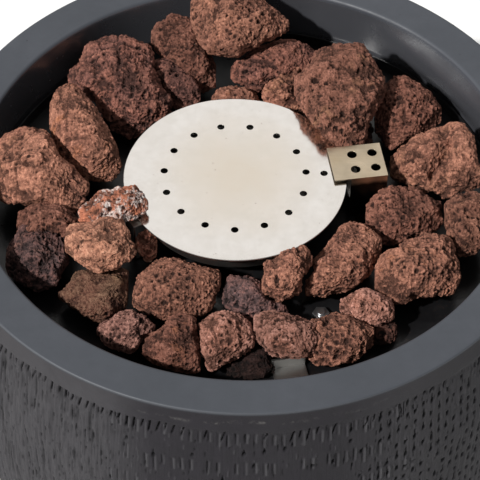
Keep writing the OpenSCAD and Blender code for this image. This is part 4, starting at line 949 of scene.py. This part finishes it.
# ------------------------------------------------------------------ burner disc
def disc():
    NSEG = 256
    R, t = 0.075, 0.001
    bev = 0.00028
    prof = []
    rings = [0.0, 0.010, 0.020, 0.030, 0.040, 0.056, 0.066, 0.0715, 0.0738]
    me_pts = []
    for r in rings[1:]:
        me_pts.append((r, DISC_Z - 0.00012 * (1 - math.cos(r / R * math.pi)) * 0.5))
    edge = [(R - bev, DISC_Z - 0.00012), (R - bev * 0.3, DISC_Z - bev * 0.3 - 0.00012), (R, DISC_Z - bev - 0.00012),
            (R, DISC_Z - t + bev), (R - bev * 0.3, DISC_Z - t + bev * 0.3), (R - bev, DISC_Z - t)]
    prof = me_pts + edge + [(0.060, DISC_Z - t), (0.030, DISC_Z - t), (0.010, DISC_Z - t)]
    verts = [(BX, BY, DISC_Z)]
    for r, z in prof:
        for k in range(NSEG):
            a = 2 * math.pi * k / NSEG
            verts.append((BX + r * math.cos(a), BY + r * math.sin(a), z))
    verts.append((BX, BY, DISC_Z - t))
    faces = []
    for k in range(NSEG):
        faces.append((0, 1 + k, 1 + (k + 1) % NSEG))
    for i in range(len(prof) - 1):
        for k in range(NSEG):
            a, b = 1 + i * NSEG + k, 1 + i * NSEG + (k + 1) % NSEG
            faces.append((a, a + NSEG, b + NSEG, b))
    last = 1 + (len(prof) - 1) * NSEG
    for k in range(NSEG):
        faces.append((last + k, len(verts) - 1, last + (k + 1) % NSEG))
    obj = mesh_object("burner_plate", verts, faces)
    pts = [(0.048, 102.2 + 24 * i) for i in range(15)] + [(0.060, 4.0)]
    bm = bmesh.new()
    for r, a in pts:
        a = math.radians(a)
        m = Matrix.Translation((BX + r * math.cos(a), BY + r * math.sin(a), DISC_Z - t / 2))
        bmesh.ops.create_cone(bm, cap_ends=True, segments=40, radius1=0.0025, radius2=0.0025, depth=0.006, matrix=m)
    cm = bpy.data.meshes.new("holes")
    bm.to_mesh(cm)
    bm.free()
    c = link(bpy.data.objects.new("holes", cm))
    b = obj.modifiers.new("b", "BOOLEAN")
    b.operation = "DIFFERENCE"
    b.solver = "MANIFOLD"
    b.object = c
    apply_modifiers(obj)
    bpy.data.objects.remove(c)
    me = obj.data
    me.polygons.foreach_set("use_smooth", np.ones(len(me.polygons), bool))
    me.set_sharp_from_angle(angle=math.radians(40))
    assign(obj, steel_disc_mat())
    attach(obj, "bowl")
    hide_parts("burner_disc")


disc()


# ------------------------------------------------------------------ CAD pieces keep their shape, with bevelled edges
def bevel(node, width, segments=3, angle=32):
    o = N[node]
    w = o.modifiers.new("weld", "WELD")
    w.merge_threshold = 2e-6
    d = o.modifiers.new("flat", "DECIMATE")
    d.decimate_type = "DISSOLVE"
    d.angle_limit = math.radians(0.4)
    b = o.modifiers.new("bevel", "BEVEL")
    b.width = width
    b.segments = segments
    b.limit_method = "ANGLE"
    b.angle_limit = math.radians(angle)
    b.harden_normals = False
    b.use_clamp_overlap = True
    n = o.modifiers.new("normals", "WEIGHTED_NORMAL")
    n.keep_sharp = True
    return o


def finish_cad():
    zinc = brushed_mat("zinc_plated", (0.60, 0.61, 0.62), (0.48, 0.49, 0.50), (0.28, 0.42), (1, 1, 0.2), 0.1)
    stain = brushed_mat("brushed_stainless", (0.66, 0.65, 0.63), (0.55, 0.54, 0.52), (0.26, 0.40), (0.08, 1, 1), 0.12)
    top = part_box("pilot_hood")[1][2]
    # the hood and the legs are painted darker below a height
    hood = brushed_mat("hood_stainless", (0.60, 0.50, 0.37), (0.49, 0.41, 0.30), (0.26, 0.38), (0.08, 1, 1), 0.1, 0.35, (top - 0.0035, top - 0.007))
    legs = brushed_mat("stainless_dark_below", (0.62, 0.60, 0.56), (0.50, 0.48, 0.45), (0.30, 0.44), (0.08, 1, 1), 0.1, 0.2, (DISC_Z - 0.004, DISC_Z - 0.012))
    pan = painted_mat("pan_enamel", (0.0045, 0.0045, 0.005), (0.009, 0.009, 0.010), (0.26, 0.40), 1500, 0.2)
    spring = brushed_mat("spring_steel", (0.42, 0.41, 0.40), (0.33, 0.32, 0.31), (0.25, 0.4), (1, 1, 1), 0.1)
    brass = brushed_mat("brass", (0.70, 0.50, 0.22), (0.55, 0.37, 0.15), (0.24, 0.4), (1, 1, 0.3), 0.08)
    copper = brushed_mat("copper", (0.68, 0.34, 0.20), (0.50, 0.22, 0.12), (0.26, 0.44), (1, 1, 1), 0.08)
    alloy = brushed_mat("cast_alloy", (0.46, 0.47, 0.48), (0.36, 0.37, 0.38), (0.45, 0.6), (1, 1, 1), 0.35)
    black = painted_mat("black_enamel", (0.013, 0.013, 0.015), (0.022, 0.022, 0.024), (0.34, 0.52), 1500, 0.6)
    rubber = painted_mat("foot_rubber", (0.014, 0.014, 0.014), (0.022, 0.022, 0.022), (0.7, 0.85), 900)
    plastic = painted_mat("black_plastic", (0.014, 0.014, 0.015), (0.020, 0.020, 0.022), (0.38, 0.5), 2200)
    red = painted_mat("red_plastic", (0.42, 0.018, 0.012), (0.36, 0.014, 0.010), (0.22, 0.32), 700, 0, 0.06)
    wire = painted_mat("silicone_sleeve", (0.36, 0.03, 0.02), (0.30, 0.025, 0.018), (0.45, 0.6), 700)
    ceramic = painted_mat("white_ceramic", (0.78, 0.75, 0.68), (0.70, 0.66, 0.58), (0.35, 0.5), 900, 0, 0.1)
    by_slot = {"black_steel": black, "stainless": stain, "zinc_plated": zinc, "spring_steel": spring, "brass": brass,
               "copper_tube": copper, "cast_alloy": alloy, "white_ceramic": ceramic, "wire_insulation": wire,
               "foot_rubber": rubber, "black_plastic": plastic, "red_plastic": red}
    for s in frame["record"]["subparts"]:
        if s["material_slot"] in by_slot:
            assign(N[s["node"]], by_slot[s["material_slot"]])
    assign(N["pilot_hood"], hood)
    assign(N["burner_legs"], legs)
    assign(N["burner_pan"], pan)
    for n, w in {"base_plate": 0.0003, "burner_pan": 0.0003, "pan_clips": 0.0003, "pan_screws": 0.0004, "stud_nuts": 0.0004,
                 "burner_cup": 0.0002, "burner_legs": 0.0002, "burner_locknut": 0.0006, "mixer_tube": 0.0004, "air_shutter": 0.0003,
                 "gas_jet": 0.0003, "jet_holder": 0.0006, "pipe_nuts": 0.0005, "pilot_hood": 0.00025, "hood_screws": 0.0003,
                 "pilot_bracket": 0.0002, "heat_shield": 0.0002, "control_panel": 0.0004, "panel_screws": 0.0004,
                 "valve_body": 0.0012, "valve_nut": 0.0006, "control_knob": 0.0005, "igniter_body": 0.0004, "igniter_nut": 0.0006,
                 "gas_inlet": 0.0006, "inlet_nut": 0.0006, "base_screws": 0.0004, "rubber_feet": 0.0006}.items():
        bevel(n, w)
    for n in N:
        o = N[n]
        if not o.hide_render:
            o.data.polygons.foreach_set("use_smooth", np.ones(len(o.data.polygons), bool))
            o.data.set_sharp_from_angle(angle=math.radians(38))


finish_cad()


# ------------------------------------------------------------------ floor and light
def stage():
    me = bpy.data.meshes.new("floor")
    me.from_pydata([(-4, -4, 0), (4, -4, 0), (4, 4, 0), (-4, 4, 0)], [], [(0, 1, 2, 3)])
    floor = link(bpy.data.objects.new("floor", me))
    m = Mat("floor_paper")
    m.set(Roughness=0.9, Specular_IOR_Level=0.1)
    m.color(m.mix(m.remap(m.noise(3, 2), 0.3, 0.7), (0.84, 0.84, 0.84), (0.87, 0.87, 0.87)))
    assign(floor, m)
    w = scene.world or bpy.data.worlds.new("world")
    scene.world = w
    w.use_nodes = True
    bg = w.node_tree.nodes.get("Background")
    bg.inputs["Color"].default_value = (0.96, 0.98, 1.0, 1)
    bg.inputs["Strength"].default_value = 0.27

    def area(name, loc, target, size, power, color=(1, 1, 1)):
        L = bpy.data.lights.new(name, "AREA")
        L.shape = "DISK"
        L.size = size
        L.energy = power
        L.color = color
        o = link(bpy.data.objects.new(name, L))
        o.location = loc
        o.rotation_euler = (Vector(target) - Vector(loc)).to_track_quat("-Z", "Y").to_euler()
        return o

    sun = bpy.data.lights.new("key", "SUN")
    sun.energy = 4.3
    sun.angle = math.radians(3)
    sun.color = (1.0, 0.98, 0.95)
    key = link(bpy.data.objects.new("key", sun))
    key.rotation_euler = Vector((0.57, 0.48, -0.665)).to_track_quat("-Z", "Y").to_euler()
    area("back", (0.1, 1.95, 2.1), (0, 0, 0.2), 2.4, 10.5, (1, 0.97, 0.93))
    area("side", (-1.9, -0.4, 0.5), (0, 0, 0.12), 0.9, 2.2, (1, 1, 1))
    scene.view_settings.view_transform = "Standard"
    scene.view_settings.look = "None"


stage()
